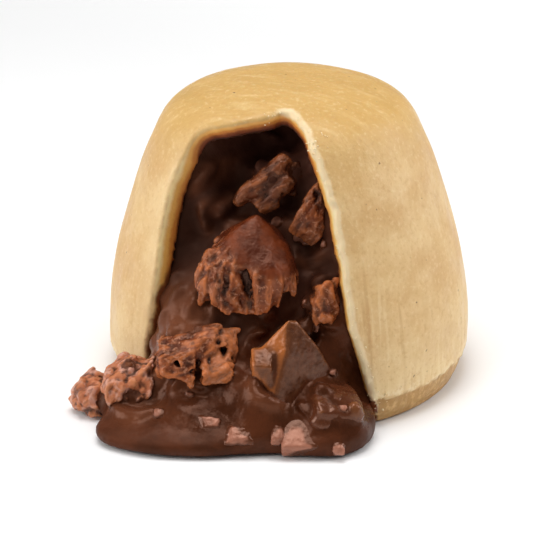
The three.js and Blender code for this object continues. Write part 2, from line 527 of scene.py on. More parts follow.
def thickening(heading, height):
    # how much thicker than usual the wall is
    extra = 0
    for middle, level, half, depth in caseShape["thick"]:
        along = np.radians(heading - middle) * sideRadius(height)
        extra = extra + depth * bell(along, height - level, half)
    return extra


def sideRadius(height):
    order = np.argsort(caseSide[:, 1])
    return np.interp(height, caseSide[order, 1], caseSide[order, 0])


def hollowTool():
    tool = turned("hollow", caseOutline(caseShape["wall"], caseShape["base"]), caseShape["sectors"])
    points = coordinates(tool.data) / mm
    heading = headingOf(points)
    radius = np.hypot(points[:, 0], points[:, 1]) - thickening(heading, points[:, 2])
    setCoordinates(tool.data, polar(heading, np.maximum(radius, 0), points[:, 2]) * mm)
    return tool


def cutRing():
    # the line that the knife leaves on the skin, closed under the foot
    heading, share = np.array(caseShape["cutEdge"], float).T
    onSide = atShares(caseSide, share)
    edge = polar(heading, onSide[:, 0], onSide[:, 1])
    foot = np.array([polar(*corner) for corner in caseShape["cutFoot"]])
    ring = throughPoints(np.concatenate([edge, foot]), 12, True)
    turns = np.arange(len(ring)) / len(ring) * 2 * np.pi
    waves = caseShape["cutWaves"]
    waver = sum(np.sin(turns * wave + wave * wave) / len(waves) for wave in waves)
    middle = ring.mean(axis=0)
    outward = (ring - middle) / np.linalg.norm(ring - middle, axis=1)[:, None]
    steady, left, right = caseShape["cutSteady"]
    waver = waver * (steady + (1 - steady) * ramp(left, right, ring[:, 0]))
    return ring + outward * (waver * caseShape["cutWaver"])[:, None]


def cutTool():
    ring = cutRing()
    knife = np.array(caseShape["knifePoint"], float)
    outside = knife + (ring.mean(axis=0) - knife) * 2 * caseShape["cutReach"]
    ring = knife + (ring - knife) * caseShape["cutReach"]
    count = len(ring)
    faces = []
    for i in range(count):
        faces.append((count, i, (i + 1) % count))
        faces.append((count + 1, (i + 1) % count, i))
    return meshObject("cut tool", np.concatenate([ring, [knife, outside]]) * mm, faces)


def nearest(points, line):
    # distance from each point to the nearest point of a dense line
    gap = np.empty(len(points))
    for start in range(0, len(points), atOnce):
        part = slice(start, start + atOnce)
        gap[part] = np.linalg.norm(points[part, None] - line, axis=2).min(axis=1)
    return gap


def sideDepth(points):
    # how far in from the outer skin each point lies, in millimetres
    skin = atShares(caseOutline(0, 0), np.linspace(0, 1, caseShape["skinPoints"]))
    radius = np.hypot(points[:, 0], points[:, 1])
    depth = np.empty(len(points))
    for start in range(0, len(points), atOnce):
        part = slice(start, start + atOnce)
        apart = np.hypot(radius[part, None] - skin[:, 0], points[part, 2, None] - skin[:, 1])
        depth[part] = apart.min(axis=1)
    return depth


# The relief of the pastry: a slow swell, fine pitting, streaks down the wall, a ragged lip over the foot
# and crumb on the cut faces. Depths in millimetres, pitches in waves to the millimetre
pastryRelief = {
    "Swell": 0.55,
    "Swell Pitch": 0.055,
    "Pitting": 0.1,
    "Pit Pitch": 0.45,
    "Streaks": 0.16,
    "Streak Pitch": 0.42,
    "Lip": 0.75,
    "Lip Height": 6.4,
    "Lip Ragged": 3.2,
    "Crumb": 0.42,
    "Crumb Pitch": 0.9,
    "Torn": 1.3,
    "Torn Pitch": 0.75,
}


def pastryReliefTree():
    tree, given, result = geometryTree("pastry relief", pastryRelief)
    place = placeIn(tree)
    around, height = aroundCase(place)
    inside = spread(stored(tree, "depth"), 0.5, 1.3)
    skin = 1.0 - inside
    swell = (noise(place, given["Swell Pitch"], 1.5) - 0.5) * given["Swell"]
    pits = (noise(place, given["Pit Pitch"], 3.0, 0.6) - 0.5) * given["Pitting"]
    lanes = point(around * given["Streak Pitch"], height * 0.035, 0.0)
    wall = spread(height, 56.0, 44.0) * skin
    streak = (noise(lanes, 1.0, 3.0, 0.6) - 0.5) * given["Streaks"] * wall
    ragged = noise(point(around * 0.3, height * 0.2, 4.0), 1.0, 3.0, 0.65) - 0.5
    above = height - (given["Lip Height"] + ragged * given["Lip Ragged"])
    over = spread(above, -0.5, 0.3)
    lip = (over - 1.0) * given["Lip"] * skin * spread(height, 0.2, 1.6)
    crumb = (noise(place, given["Crumb Pitch"], 4.0, 0.65) - 0.5) * given["Crumb"] * inside
    flakes = (noise(place, given["Torn Pitch"], 3.0, 0.65) - 0.5) * given["Torn"] * stored(tree, "torn")
    lift = ((swell + pits) + (streak + lip) + (crumb + flakes)) * mm
    geometry = pushed(given["Geometry"], lift * spread(height, 0.1, 1.2))
    fringe = spread(above, -0.3, 0.3) * spread(above, 2.6, 0.4)
    finishTree(keepAs(geometry, {"lip": 1.0 - over, "fringe": fringe}), given, result)
    return tree


def makePastry(gravySurface, material):
    case = turned("pastry", caseOutline(0, 0), caseShape["sectors"])
    cut(case, hollowTool(), "DIFFERENCE")
    cut(case, cutTool(), "DIFFERENCE")
    remeshed(case, caseShape["voxel"], caseShape["softening"])
    points = coordinates(case.data) / mm
    depth = sideDepth(points)
    far = caseShape["far"]
    front = points[:, 1] < 0
    near = np.full(len(points), far)
    stained = (depth > caseShape["skin"]) | (points[:, 2] < caseShape["stainHeight"])
    for i in np.flatnonzero(front & stained):
        found = gravySurface.find_nearest(Vector(points[i] * mm), far * mm)
        if found[3] is not None:
            near[i] = found[3] / mm
    edge = np.full(len(points), far)
    edge[front] = nearest(points[front], cutRing())
    paint(case.data, "depth", depth)
    paint(case.data, "gravyNear", near)
    # the right side of the cut tore; the left one was cut clean and gets a painted highlight along its rim
    for name in ("torn", "rim"):
        reach, side = caseShape[name]
        paint(case.data, name, (1 - ramp(*reach, edge)) * ramp(*side, points[:, 0]))
    shaped(case, pastryReliefTree(), {**pastryRelief, "Material": material})
    settle(case)
    return case


# Gravy: held by the case, slumped in the cut, run out over the floor, and risen round the meat
gravyShape = {
    # height and radius of the slumped front
    "slump": [
        (0, 44), (6, 42.5), (10, 40), (15, 36), (21, 31.3), (28, 26), (35, 20), (42, 14.5), (48, 10),
        (53, 7), (62.3, 4),
    ],
    "slumpHalfAngle": 32,
    "slumpFade": 6,
    "slumpMiddle": 1,
    # heading and radius of the edge of the pool on the floor
    "poolEdge": [
        (-41, 37), (-37, 41), (-33.5, 45.5), (-30, 50.5), (-26.5, 55), (-23, 56.2), (-19, 55.8),
        (-12.5, 54.4), (-6.4, 52.4), (0, 50.4), (6.4, 48), (13.5, 46.8), (17, 46.6), (20.7, 47.2),
        (24.2, 48), (28, 48.6), (32, 48.4), (37, 46.5), (42, 42.5), (46, 38.5), (49, 35),
    ],
    # height of the lip of the pool, left and right
    "lipHeight": (2.4, 4.0),
    # heading, half width and depth of a dip in the lip
    "lipDip": (20, 7, 1.5),
    "lipTop": 7.5,
    "lipTuck": 0.9,
    "bite": 0.35,
    # heading, height, half width and rise of mounds on the front
    "mounds": [
        (-20, 24, 13, 7.0), (-1, 7, 4, 1.2), (-26, 31, 7, 1.6), (4, 21, 6, 1.2), (10, 9, 9, 2.6),
        (-14, 6, 6, 1.6), (25, 17, 11, -5.0), (14, 8, 7, 2.4), (21, 5.5, 7, -2.0), (37, 15, 6, 3.0),
        (36, 24, 7, 3.0), (33, 7, 8, 2.2), (26, 31, 6, 1.6), (-12, 12, 8, 2.4), (3, 12, 6, 1.8),
    ],
    # heading, height and half width of places that are paler, and of pockets that are painted darker as
    # painted shade
    "pale": [(-21, 20, 13), (-24, 14, 8)],
    "shadePockets": [(31, 33, 7), (20, 44, 8), (-2, 22, 6), (-26, 40, 14), (-30, 32, 13)],
    # raised folds with a painted sheen along them: heading, radius, height and half thickness along each
    "folds": [
        [
            (7.5, 41.6, 13.5, 1.0), (8.8, 42.3, 11.8, 1.5), (11.6, 43, 10.7, 1.7), (14.2, 42.9, 9.9, 1.6),
            (16.5, 42.1, 9.5, 1.0),
        ],
        [
            (-30.1, 48.6, 5.5, 1.0), (-25, 49.8, 5.7, 1.5), (-21.3, 49.6, 5.5, 1.6), (-18.3, 48, 5.7, 1.5),
            (-15.9, 45.7, 6.9, 1.0),
        ],
    ],
    "sheen": 0.5,
    "sheenWidth": 2.0,
    # shreds and lumps that the gravy has coated, in the same order; they get a painted sheen, and less
    # painted shade
    "lumps": [
        [(-26.5, 24.6, 42.2, 1.1), (-28, 24.4, 39, 1.3), (-25.5, 23.6, 36, 1.1)],
        [(-21.7, 22.6, 40, 1.7), (-22.2, 19.6, 40.7, 2.2), (-21.8, 16.6, 42.1, 1.7)],
        [(-17, 21.2, 37.3, 1.8), (-13.5, 20.6, 38.2, 2.3), (-10.7, 19.8, 38.8, 1.8)],
        [(14.9, 18, 38.8, 1.7), (18.5, 19.2, 38.6, 2.2), (22.3, 20.2, 37.9, 1.6)],
        [(22.5, 23.8, 33, 1.3), (28.7, 25.4, 32.2, 1.8), (31.8, 26.4, 35, 1.3)],
        [(-32.4, 24.6, 44.5, 1.2), (-32.5, 22, 46.9, 1.6), (-31.8, 19.6, 48.8, 1.3)],
    ],
    "lumpSheen": 0.6,
    "sectors": 200,
    "rows": 110,
    "crowding": 1.5,
    # small shreds of meat under the surface: width, length and gap, the way they lie, how far they sink,
    # and their seed
    "shreds": (3.4, 4.6, 4.6),
    "shredGrain": (0.3, -0.3, 1),
    "shredSink": 0.05,
    "shredSeed": 41,
    # heights over which they begin and end, headings over which they end, and the headings and heights
    # over which they give way to smooth gravy at the upper left
    "shredHeights": ((8, 14), (50, 54)),
    "shredHeadings": (32, 42),
    "shredLeft": ((-18, -8), (26, 32)),
    # depth behind the skin and height over which gravy is painted darker, as painted shade deep in the cut
    "deepShade": ((2.5, 9), (16, 32)),
    # gap from the gravy over which meat stops being wet
    "wetGap": (0.1, 0.9),
    "fill": 1.9,
    # size of the faces while creases are filled, and at the end
    "fillVoxel": 0.806,
    "voxel": 0.62,
    "softening": 8,
}


def gravyRadius(heading, height):
    shape = gravyShape
    held = sideRadius(height) - caseShape["wall"] + shape["bite"] - thickening(heading, height)
    aside = np.abs(heading - shape["slumpMiddle"])
    reach, fade = shape["slumpHalfAngle"], shape["slumpFade"]
    opened = 1 - ramp(reach - fade, reach + fade, aside)
    level, radius = np.array(shape["slump"], float).T
    front = np.interp(height, level, radius)
    for middle, rise, half, lift in shape["mounds"]:
        along = np.radians(heading - middle) * front
        front = front + lift * bell(along, height - rise, half)
    sloped = held + (front - held) * opened
    edge = throughPoints(shape["poolEdge"], 8, False)
    spill = np.maximum(np.interp(heading, edge[:, 0], edge[:, 1]) - caseShape["rimRadius"], 0)
    left, right = shape["lipHeight"]
    lip = left + (right - left) * ramp(2, 14, heading)
    middle, half, dip = shape["lipDip"]
    lip = lip - dip * np.exp(-0.5 * ((heading - middle) / half * 2) ** 2)
    run = caseShape["rimRadius"] + spill - shape["lipTuck"] * (1 - ramp(0, lip, height))
    low = (1 - ramp(lip, shape["lipTop"], height)) * ramp(0.3, 2.5, spill)
    return np.maximum(sloped, sloped + (run - sloped) * low)


def cadCopy(nodeName, name, grow, lift):
    # a CAD node's form with its corners merged, grown about its middle and raised
    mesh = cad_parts[nodeName].data.copy()
    shape = bmesh.new()
    shape.from_mesh(mesh)
    bmesh.ops.remove_doubles(shape, verts=shape.verts, dist=0.002 * mm)
    middle = sum((v.co for v in shape.verts), Vector()) / len(shape.verts)
    raised = Matrix.Translation(middle + Vector((0, 0, lift * mm)))
    sized = Matrix.Diagonal((*grow, 1))
    bmesh.ops.transform(shape, matrix=raised @ sized @ Matrix.Translation(-middle), verts=shape.verts)
    shape.to_mesh(mesh)
    shape.free()
    mesh.name = name
    mesh.materials.clear()
    return linked(name, mesh)


def fromFront(middle, right, toward, up):
    # a place given as the camera sees it: to the right, towards it and up from the middle, in millimetres
    turn = math.radians(studio["azimuth"])
    return Vector((
        middle[0] + right * math.cos(turn) + toward * math.sin(turn),
        middle[1] + right * math.sin(turn) - toward * math.cos(turn),
        middle[2] + up,
    ))


def toFront(place):
    # the other way round: how far to the right, towards the camera and up a place lies from the origin
    turn = math.radians(studio["azimuth"])
    right = place[0] * math.cos(turn) + place[1] * math.sin(turn)
    return right, place[0] * math.sin(turn) - place[1] * math.cos(turn), place[2]


def hullOf(name, middle, corners):
    # a block with the given corners
    shape = bmesh.new()
    for corner in corners:
        shape.verts.new(fromFront(middle, *corner) * mm)
    bmesh.ops.convex_hull(shape, input=shape.verts)
    loose = [v for v in shape.verts if not v.link_faces]
    bmesh.ops.delete(shape, geom=loose, context="VERTS")
    bmesh.ops.recalc_face_normals(shape, faces=shape.faces)
    mesh = bpy.data.meshes.new(name)
    shape.to_mesh(mesh)
    shape.free()
    return linked(name, mesh)


def tubesOf(middle, paths):
    # round strands through the given places, each with its own radius
    curve = bpy.data.curves.new("strands", "CURVE")
    curve.dimensions = "3D"
    curve.bevel_depth = mm
    curve.bevel_resolution = 3
    curve.use_fill_caps = True
    for path in paths:
        spline = curve.splines.new("NURBS")
        spline.points.add(len(path) - 1)
        shares = [0.75] + [1.0] * (len(path) - 2) + [0.7]
        for knot, share, (right, toward, up, radius) in zip(spline.points, shares, path):
            knot.co = (*(fromFront(middle, right, toward, up) * mm), 1)
            knot.radius = radius * share
        spline.use_endpoint_u = True
        spline.order_u = 3
        spline.resolution_u = 6
    holder = linked("strands", curve)
    mesh = bpy.data.meshes.new_from_object(holder.evaluated_get(bpy.context.evaluated_depsgraph_get()))
    bpy.data.objects.remove(holder)
    return facingOut(mesh, 0.001 * mm)


def addMesh(obj, mesh):
    shape = bmesh.new()
    shape.from_mesh(obj.data)
    shape.from_mesh(mesh)
    shape.to_mesh(obj.data)
    shape.free()


def chunkForm(name, part):
    # a chunk's own form, as the look has it, or the share of it that gravy fills
    look = meatLook[name]
    low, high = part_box(name)
    middle = tuple((Vector(low) + Vector(high)) / 2 / mm)
    if "hulls" in look and (part == "core" or len(look["hulls"]) < 3):
        form = hullOf(name + "_look", middle, np.array(look["hulls"][0]) * look[part][0])
        for corners in look["hulls"][1:] if part == "core" else ():
            more = hullOf("more", middle, corners)
            addMesh(form, more.data)
            bpy.data.objects.remove(more)
        return middle, form
    return middle, cadCopy(name, name + "_look", look[part], look["lift"])


gravyRelief = {"Ripple": 1.3, "Ripple Pitch": 0.17, "Grain": 0.4, "Grain Pitch": 0.5}


def gravyReliefTree():
    tree, given, result = geometryTree("gravy relief", gravyRelief)
    place = placeIn(tree)
    height = axes(place)[2]
    ripple = (noise(place, given["Ripple Pitch"], 2.0, 0.5, 0.4) - 0.5) * given["Ripple"]
    grain = (noise(place, given["Grain Pitch"], 3.0) - 0.5) * given["Grain"]
    # the pool on the floor has settled smooth
    lift = (ripple + grain) * spread(height, 1.0, 9.0, 0.15, 1.0)
    finishTree(pushed(given["Geometry"], lift * mm * spread(height, 0.1, 1.2)), given, result)
    return tree


def makeGravy(strands, material):
    shape = gravyShape
    top = caseShape["height"] - caseShape["wall"] + shape["bite"]
    heights = top * (np.arange(shape["rows"] + 1) / shape["rows"]) ** shape["crowding"]
    headings = np.arange(shape["sectors"]) * 360 / shape["sectors"] - 180
    rings = [polar(headings, gravyRadius(headings, height), height) for height in heights]
    gravy = ringed("gravy_pool", rings, 0, top)
    for name in meats:
        cut(gravy, chunkForm(name, "bed")[1], "UNION")
    filled(gravy, shape["fill"], shape["fillVoxel"])
    surface = BVHTree.FromObject(gravy, bpy.context.evaluated_depsgraph_get())
    places = coordinates(gravy.data) / mm
    heading, height = headingOf(places), places[:, 2]
    begin, end = shape["shredHeights"]
    side, level = shape["shredLeft"]
    ragged = ramp(*begin, height) * (1 - ramp(*end, height))
    ragged = ragged * (1 - ramp(*shape["shredHeadings"], np.abs(heading)))
    ragged = ragged * np.maximum(ramp(*side, heading), 1 - ramp(*level, height))
    paint(gravy.data, "ragged", ragged)
    grain, sink, seed = shape["shredGrain"], shape["shredSink"], shape["shredSeed"]
    strewn(gravy, strands, shape["shreds"], grain, sink, seed, material)
    folds = []
    for fold in shape["folds"] + shape["lumps"]:
        found = [surface.find_nearest(Vector(polar(*place)) * mm)[0] / mm for *place, half in fold]
        folds.append([(*toFront(place), half) for place, (*_, half) in zip(found, fold)])
    addMesh(gravy, tubesOf((0, 0, 0), folds))
    remeshed(gravy, shape["voxel"], shape["softening"])
    shaped(gravy, gravyReliefTree(), {**gravyRelief, "Material": material})
    paintShadeAndSheen(gravy)
    return gravy


def paintWet(obj, gravySurface):
    # 1 where a piece of meat dips into the gravy
    points = coordinates(obj.data)
    gap = [gravySurface.find_nearest(Vector(place))[3] / mm for place in points]
    paint(obj.data, "wet", 1 - ramp(*gravyShape["wetGap"], np.array(gap)))


def nearPlaces(points, places):
    # 1 at the given headings and heights, falling off over their half widths
    heading = headingOf(points)
    radius = np.hypot(points[:, 0], points[:, 1])
    share = np.zeros(len(points))
    for middle, level, half in places:
        along = np.radians(heading - middle) * radius
        share = np.maximum(share, bell(along, points[:, 2] - level, half))
    return share


def alongPaths(paths):
    # heading, height and half width of places close together along each path
    places = []
    for path in paths:
        ridge = throughPoints([(heading, height) for heading, _, height, _ in path], 4, False)
        places += [(heading, height, gravyShape["sheenWidth"]) for heading, height in ridge]
    return places


def paintShadeAndSheen(obj):
    # paints shade deep in the cut and in dark pockets, and the pale places with a painted sheen along the
    # folds and coated lumps
    settle(obj)
    points = coordinates(obj.data) / mm
    depth, height = gravyShape["deepShade"]
    inside = ramp(*depth, sideDepth(points)) * ramp(*height, points[:, 2])
    sheen = nearPlaces(points, alongPaths(gravyShape["folds"])) * gravyShape["sheen"]
    coated = nearPlaces(points, alongPaths(gravyShape["lumps"])) * gravyShape["lumpSheen"]
    # painted shade deep in the cut, less of it where lumps are coated
    paint(obj.data, "deepShade", inside * (1 - coated))
    # pockets of painted shade
    paint(obj.data, "shadePockets", nearPlaces(points, gravyShape["shadePockets"]) * (1 - coated))
    sheen = np.maximum(sheen, coated)
    # the paler places, and a painted sheen along the folds and coated lumps
    paint(obj.data, "pale", np.maximum(nearPlaces(points, gravyShape["pale"]), sheen))


# Chunks of meat: each keeps its CAD form and gets torn strands, pits and a coat of gravy
meatMesh = {
    "softening": 4,
    "strandSink": 0.2,
    "fill": 0.6,
    # size of the faces while creases are filled, and at the end
    "fillVoxel": 0.384,
    "voxel": 0.32,
    # height round the level of the coat over which the strands end
    "coatEdge": (-0.5, 1.5),
    # the first seed, what a layer of strands adds to it, and how far the noise shifts from piece to piece
    "seed": 5,
    "layerSeed": 31,
    "shift": 13.7,
}


def cutOf(grain, lumps, strands, coat, tone, core=0.84, bed=0.8, **others):
    # grain as the camera sees it, lumps and strands as (width, length, gap), coat level above the middle,
    # and tone; shares of the form under the lumps and of the form that gravy fills; others: depths of pits,
    # fibres and grain, lift from the solid, tilt of the coat, how the tone changes across the piece, and a
    # painted side light that makes faces turned towards -x paler
    base = {
        "pit": 0.5, "fibre": 1.0, "fine": 0.35, "lift": 0.0, "across": 0.0, "facing": 0.0, "sink": 0.12,
        "soft": meatMesh["softening"], "coatTilt": 0.0, "fill": meatMesh["fill"],
    }
    own = {"lumps": lumps, "strands": strands, "coat": coat, "tone": tone}
    own["grain"] = tuple(fromFront((0, 0, 0), *grain))
    shares = {"core": np.broadcast_to(core, 3), "bed": np.broadcast_to(bed, 3)}
    return {**base, **own, **shares, **others}


meatLook = {
    "steak_centre": cutOf(
        (0.1, 0.2, 1), None, (1.0, 3.4, 2.4), 4.6, 0.45, core=1.0, bed=0.72, fibre=0.8, coatTilt=0.3,
        fill=0.55,
        # corners of the dome: right, towards the camera and up
        hulls=[[
            (2, 1.2, 12), (0.6, 2.2, 11.2), (-2.4, 3, 9.4), (5.6, 2, 8.6), (1.4, 4.8, 8.6),
            (-7.2, 3.4, 4.2), (-5, 6.2, 4.2), (0, 7.4, 4.6), (4.6, 7, 4.6), (8.4, 4.2, 4.4),
            (9.2, 1.6, 4), (-5.5, -5, 5), (2, -5, 9), (7.5, -5, 4.5), (-7, 3, -3), (-3, 5.6, -4),
            (3.4, 6, -4), (7.6, 3.2, -3), (-5.5, -5.5, -6), (6, -5.5, -6), (-3, 3.2, -7.5),
            (3.5, 3.6, -7.5),
        ]],
        # strands that hang from it: right, towards the camera, up and radius
        hanging=[
            [(-6.8, 3.4, 5.2, 1.3), (-8.4, 4.4, 2.0, 1.5), (-9.2, 4.8, -1.4, 1.3), (-9.7, 4.6, -4.4, 0.9)],
            [(-5.6, 5.4, 2.8, 1.3), (-7.2, 6.2, 0.4, 1.5), (-8.4, 6.0, -3.0, 1.4), (-9.4, 5.4, -6.4, 1.0)],
            [(-4.6, 6.6, 2.4, 1.2), (-5.8, 7.6, -1.0, 1.4), (-5.8, 7.8, -4.0, 1.3), (-4.6, 7.4, -6.8, 0.9)],
            [(-4.6, 7.8, -1.6, 1.0), (-3.0, 8.4, -3.0, 1.2), (-1.8, 8.2, -5.2, 1.1), (-0.8, 7.8, -7.2, 0.8)],
            [(-6.6, 6.8, -4.8, 1.0), (-5.0, 8.2, -5.6, 1.0), (-3.2, 8.2, -7.2, 0.8)],
            [(-2.4, 6.2, 2.6, 1.2), (-2.3, 7.2, -0.4, 1.4), (-1.7, 7.4, -3.4, 1.4), (-0.9, 7.2, -6.4, 1.1)],
            [(-0.4, 5.4, -2.2, 1.1), (0.3, 6.9, -4.4, 1.4), (0.6, 7.0, -7.4, 1.1)],
            [(-4.0, 6.2, 3.4, 1.2), (-1.6, 7.2, 2.8, 1.2), (1.2, 7.2, 3.2, 1.1)],
            [(1.9, 7.2, 4.2, 1.1), (2.0, 8.6, 2.4, 1.25), (2.6, 8.8, -2.6, 1.35), (2.4, 8.4, -7.2, 1.1)],
            [(4.8, 7.0, 4.2, 1.1), (4.7, 8.7, 2.4, 1.25), (4.2, 9.0, -1.4, 1.3), (3.6, 8.6, -6.4, 1.0)],
            [(6.0, 6.6, 4.0, 1.0), (6.5, 7.9, 1.8, 1.15), (6.6, 8.1, -1.6, 1.15), (5.8, 7.8, -5.8, 0.9)],
            [(7.0, 5.6, 4.2, 1.0), (7.9, 6.5, 1.6, 1.1), (8.6, 6.4, -1.4, 1.1), (9.3, 6.0, -4.0, 0.8)],
            [(8.8, 3.6, 3.6, 1.2), (9.4, 4.6, 0.6, 1.3), (9.2, 4.8, -2.8, 1.1)],
        ],
    ),
    "steak_upper": cutOf(
        (1, 0.2, 0.7), None, (1.3, 3.4, 2.4), 12, 0.25, core=0.76, fibre=0.5, across=0.05, fill=0.7,
        hanging=[
            [(-9.0, 3.8, -4.4, 1.6), (-7.4, 4.8, -2.2, 2.2), (-5.6, 4.4, 0.2, 1.9)],
            [(-5.8, 4.6, -2.2, 2.1), (-3.8, 4.8, 0.6, 2.5), (-2.2, 3.6, 3.0, 2.0)],
            [(-2.0, 4.2, 2.2, 2.0), (-0.2, 4.0, 4.2, 2.4), (1.4, 3.0, 5.4, 1.9)],
            [(-1.4, 5.4, -1.8, 2.0), (0.4, 5.2, 0.2, 2.5), (2.0, 4.4, 1.4, 2.1)],
            [(-4.6, 5.2, -4.8, 1.8), (-2.4, 5.6, -3.4, 2.2), (-0.4, 5.2, -3.0, 1.9)],
            [(2.0, 3.6, -2.6, 1.8), (3.2, 3.0, 0.4, 2.0), (3.4, 2.2, 3.6, 1.6)],
        ],
    ),
    "steak_right_upper": cutOf(
        (0.55, 0.2, 1), None, (1.0, 3.4, 2.2), 12, 0.45, core=0.7, fibre=0.6, lift=1.6, fill=0.45,
        hanging=[
            [(-5.2, 3.0, -1.8, 0.9), (-3.4, 3.4, 1.4, 1.2), (-1.6, 2.2, 5.2, 1.2), (0.6, 0.8, 8.6, 0.9)],
            [(-4.0, 3.6, -2.4, 0.9), (-2.2, 4.0, 0.6, 1.2), (-0.4, 3.0, 3.8, 1.2), (1.2, 1.6, 6.6, 0.9)],
            [(-2.6, 3.6, -3.2, 0.9), (-1.0, 4.2, -0.6, 1.2), (0.4, 3.4, 2.2, 1.2), (1.7, 2.2, 4.4, 0.9)],
            [(-1.6, 3.2, -4.2, 0.9), (-0.2, 3.8, -2.2, 1.2), (1.0, 3.2, 0.4, 1.1), (2.0, 2.4, 2.2, 0.8)],
            [(-3.2, 4.4, -0.8, 0.8), (-1.4, 4.8, -0.4, 0.9), (0.6, 4.0, -1.0, 0.8)],
        ],
    ),
    "steak_right_lower": cutOf(
        (-0.25, 0.2, 1), None, (1.0, 3.0, 2.0), 12, 0.4, core=0.74, bed=0.8, lift=1.0, fibre=0.7,
        hanging=[
            [(-0.9, 2.6, 2.6, 0.9), (-0.8, 3.2, 0.4, 1.2), (-0.3, 3.4, -3.0, 0.9)],
            [(0.3, 2.2, 5.2, 0.9), (0.7, 3.2, 2.4, 1.3), (1.2, 3.4, -1.2, 0.8)],
            [(1.6, 1.6, 6.0, 0.9), (2.1, 2.6, 2.6, 1.2), (2.3, 2.8, -3.4, 1.0)],
            [(3.0, 0.6, 4.0, 0.9), (3.6, 1.5, 1.0, 1.3), (3.2, 1.8, -1.8, 0.9)],
            [(-1.2, 3.4, -0.6, 0.8), (1.2, 4.2, -1.8, 1.0), (3.0, 3.2, -0.8, 0.8)],
            [(3.8, 0.4, 6.2, 0.7), (2.8, 1.8, 4.4, 1.0), (1.2, 2.8, 4.0, 0.7)],
        ],
    ),
    "steak_left_upper": cutOf((0.2, 0, 1), (3.0, 8, 3.4), None, -20, 0.1, bed=0.93),
    "steak_left": cutOf(
        (1, 0.2, 0.5), (2.4, 3.2, 3.2), (1.2, 2.4, 2.2), 12, 0.2, core=1.0, pit=0.8, fibre=0.4, across=0.12,
        sink=0.38,
        # two blocks at the left and three at the right
        hulls=[
            [
                (-7.8, 2.2, 4.6), (-3.4, 2.6, 5.4), (-3.2, 6.8, 3.6), (-7.2, 6.4, 3), (-8.2, 4.6, -1.8),
                (-3, 8, -1.6), (-6.8, 7.8, -1), (-7, -1.9, 2.8), (-3, -1.9, 2.8), (-7, -1.4, -3.8),
                (-3, -1.4, -3.8),
            ],
            [
                (-4.4, 2.8, 5.6), (-0.4, 2.4, 6.2), (-0.2, 7, 3.8), (-3.8, 7.4, 3.4), (-4.2, 8.4, -1.4),
                (-0.6, 8.8, -2.4), (-4, -1.9, 3.6), (-0.5, -1.9, 3.6), (-4, -1.4, -3.8), (-0.5, -1.4, -3.8),
            ],
            [
                (-0.8, 1.8, 7.2), (3.8, 2, 8), (4, 4.8, 6), (0, 5.6, 5.2), (3.6, 5.6, 2.4), (0.2, 6.6, 2.2),
                (0, -1.9, 4.6), (4, -1.9, 4.6), (0, -1.4, -2.8), (4, -1.4, -2.8),
            ],
            [
                (3, 1.6, 7.2), (7.6, 1.4, 6.2), (8.2, 3.8, 3), (5, 4.8, 5.2), (8, 4.6, -1.6),
                (5, 5.6, -0.6), (4, -1.9, 4), (8, -1.9, 3), (4, -1.4, -2.8), (7.6, -1.4, -2.8),
            ],
            [
                (0.6, 5.4, 2.6), (5.6, 5.4, 2.8), (7.2, 8.2, 0.4), (1.6, 8.8, 0), (7.4, 7.6, -2.4),
                (1, 8.4, -2.8), (1, 1.6, 1.7), (7, 1.6, 1.7), (1, 1.6, -3.8), (7, 1.6, -3.8),
            ],
        ],
        # holes: right, towards the camera, up and radius of their two ends
        holes=[
            [(-3.6, 9.6, 0.8, 1.0), (-3.8, 5.6, 2.2, 0.8)],
            [(-1.0, 10.2, -0.8, 1.0), (-0.8, 6.6, 0.4, 0.8)],
            [(5.4, 7.4, 2.4, 1.2), (5.2, 2.4, 3.8, 1.0)],
            [(2.6, 8.4, 1.2, 0.7), (2.2, 5.0, 2.2, 0.6)],
            [(-8.4, 5.6, 2.4, 0.7), (-5.8, 6.4, 4.4, 0.7), (-4.0, 5.6, 6, 0.6)],
        ],
    ),
    "steak_foot_left": cutOf(
        (0.35, 0.2, 1), (2.6, 4.4, 2.2), (1.2, 3.4, 2.0), 12, 1.3, core=0.9, fibre=0.5, sink=0.2, pit=0.2,
        finish="foot",
    ),
    "steak_foot_outer": cutOf(
        (0.8, 0.2, 0.8), (2.4, 3.6, 2.0), (1.1, 2.8, 1.9), 12, 1.0, core=0.9, fibre=0.5, sink=0.2, pit=0.2,
        finish="foot",
    ),
    "steak_front_left": cutOf((1, 0.2, 0.3), (3.2, 5, 4), None, -20, 0.3, core=0.86, bed=0.92, fibre=0.3),
    "kidney_centre": cutOf(
        # faces turned to the left are painted paler, as painted side light
        (0, 0, 1), None, None, 20, 0.6, bed=0.74, pit=0.3, fibre=0.0, fine=0.3, facing=1.3, core=1.0, soft=10,
        # corners of the wedge, and of the ledge at its left: right, towards the camera and up
        hulls=[
            [
                (-1.4, 2, 9.7), (0.3, 1.2, 9.2), (-1.6, 5, 4.4), (-4.1, 8, -5.5), (-9.0, 2.6, 1.6),
                (-9, 3, -8.4), (7.9, -0.5, -3.2), (4.6, 0.4, 3.2), (6.6, 2, -9.7), (-2.1, 7.5, -8.4),
                (-1, -7, 5), (-7.5, -6.5, -6), (6, -7.5, -6),
            ],
            [
                (-8.8, 2.6, 3.9), (-4.4, 3.4, 4.1), (-4.6, 6.6, 1.8), (-8.5, 5.8, 1.6), (-8.4, 4.8, -4),
                (-4.8, 6.6, -4), (-8, -2, 2), (-4, -2, 2), (-8, -2, -6), (-4, -2, -6),
            ],
        ],
    ),
    "kidney_foot_right": cutOf(
        (0, 0, 1), (4.4, 5.2, 4.4), None, 20, 0.1, pit=0.4, fibre=0.0, fine=0.4, core=0.95, bed=0.97,
        sink=0.42, soft=12,
    ),
    "kidney_front_right": cutOf(
        (1, 0, 0.2), None, None, 20, 1.0, pit=0.1, fibre=0.0, fine=0.3, core=1.0, bed=0.8, soft=14,
        finish="pink",
        hulls=[[
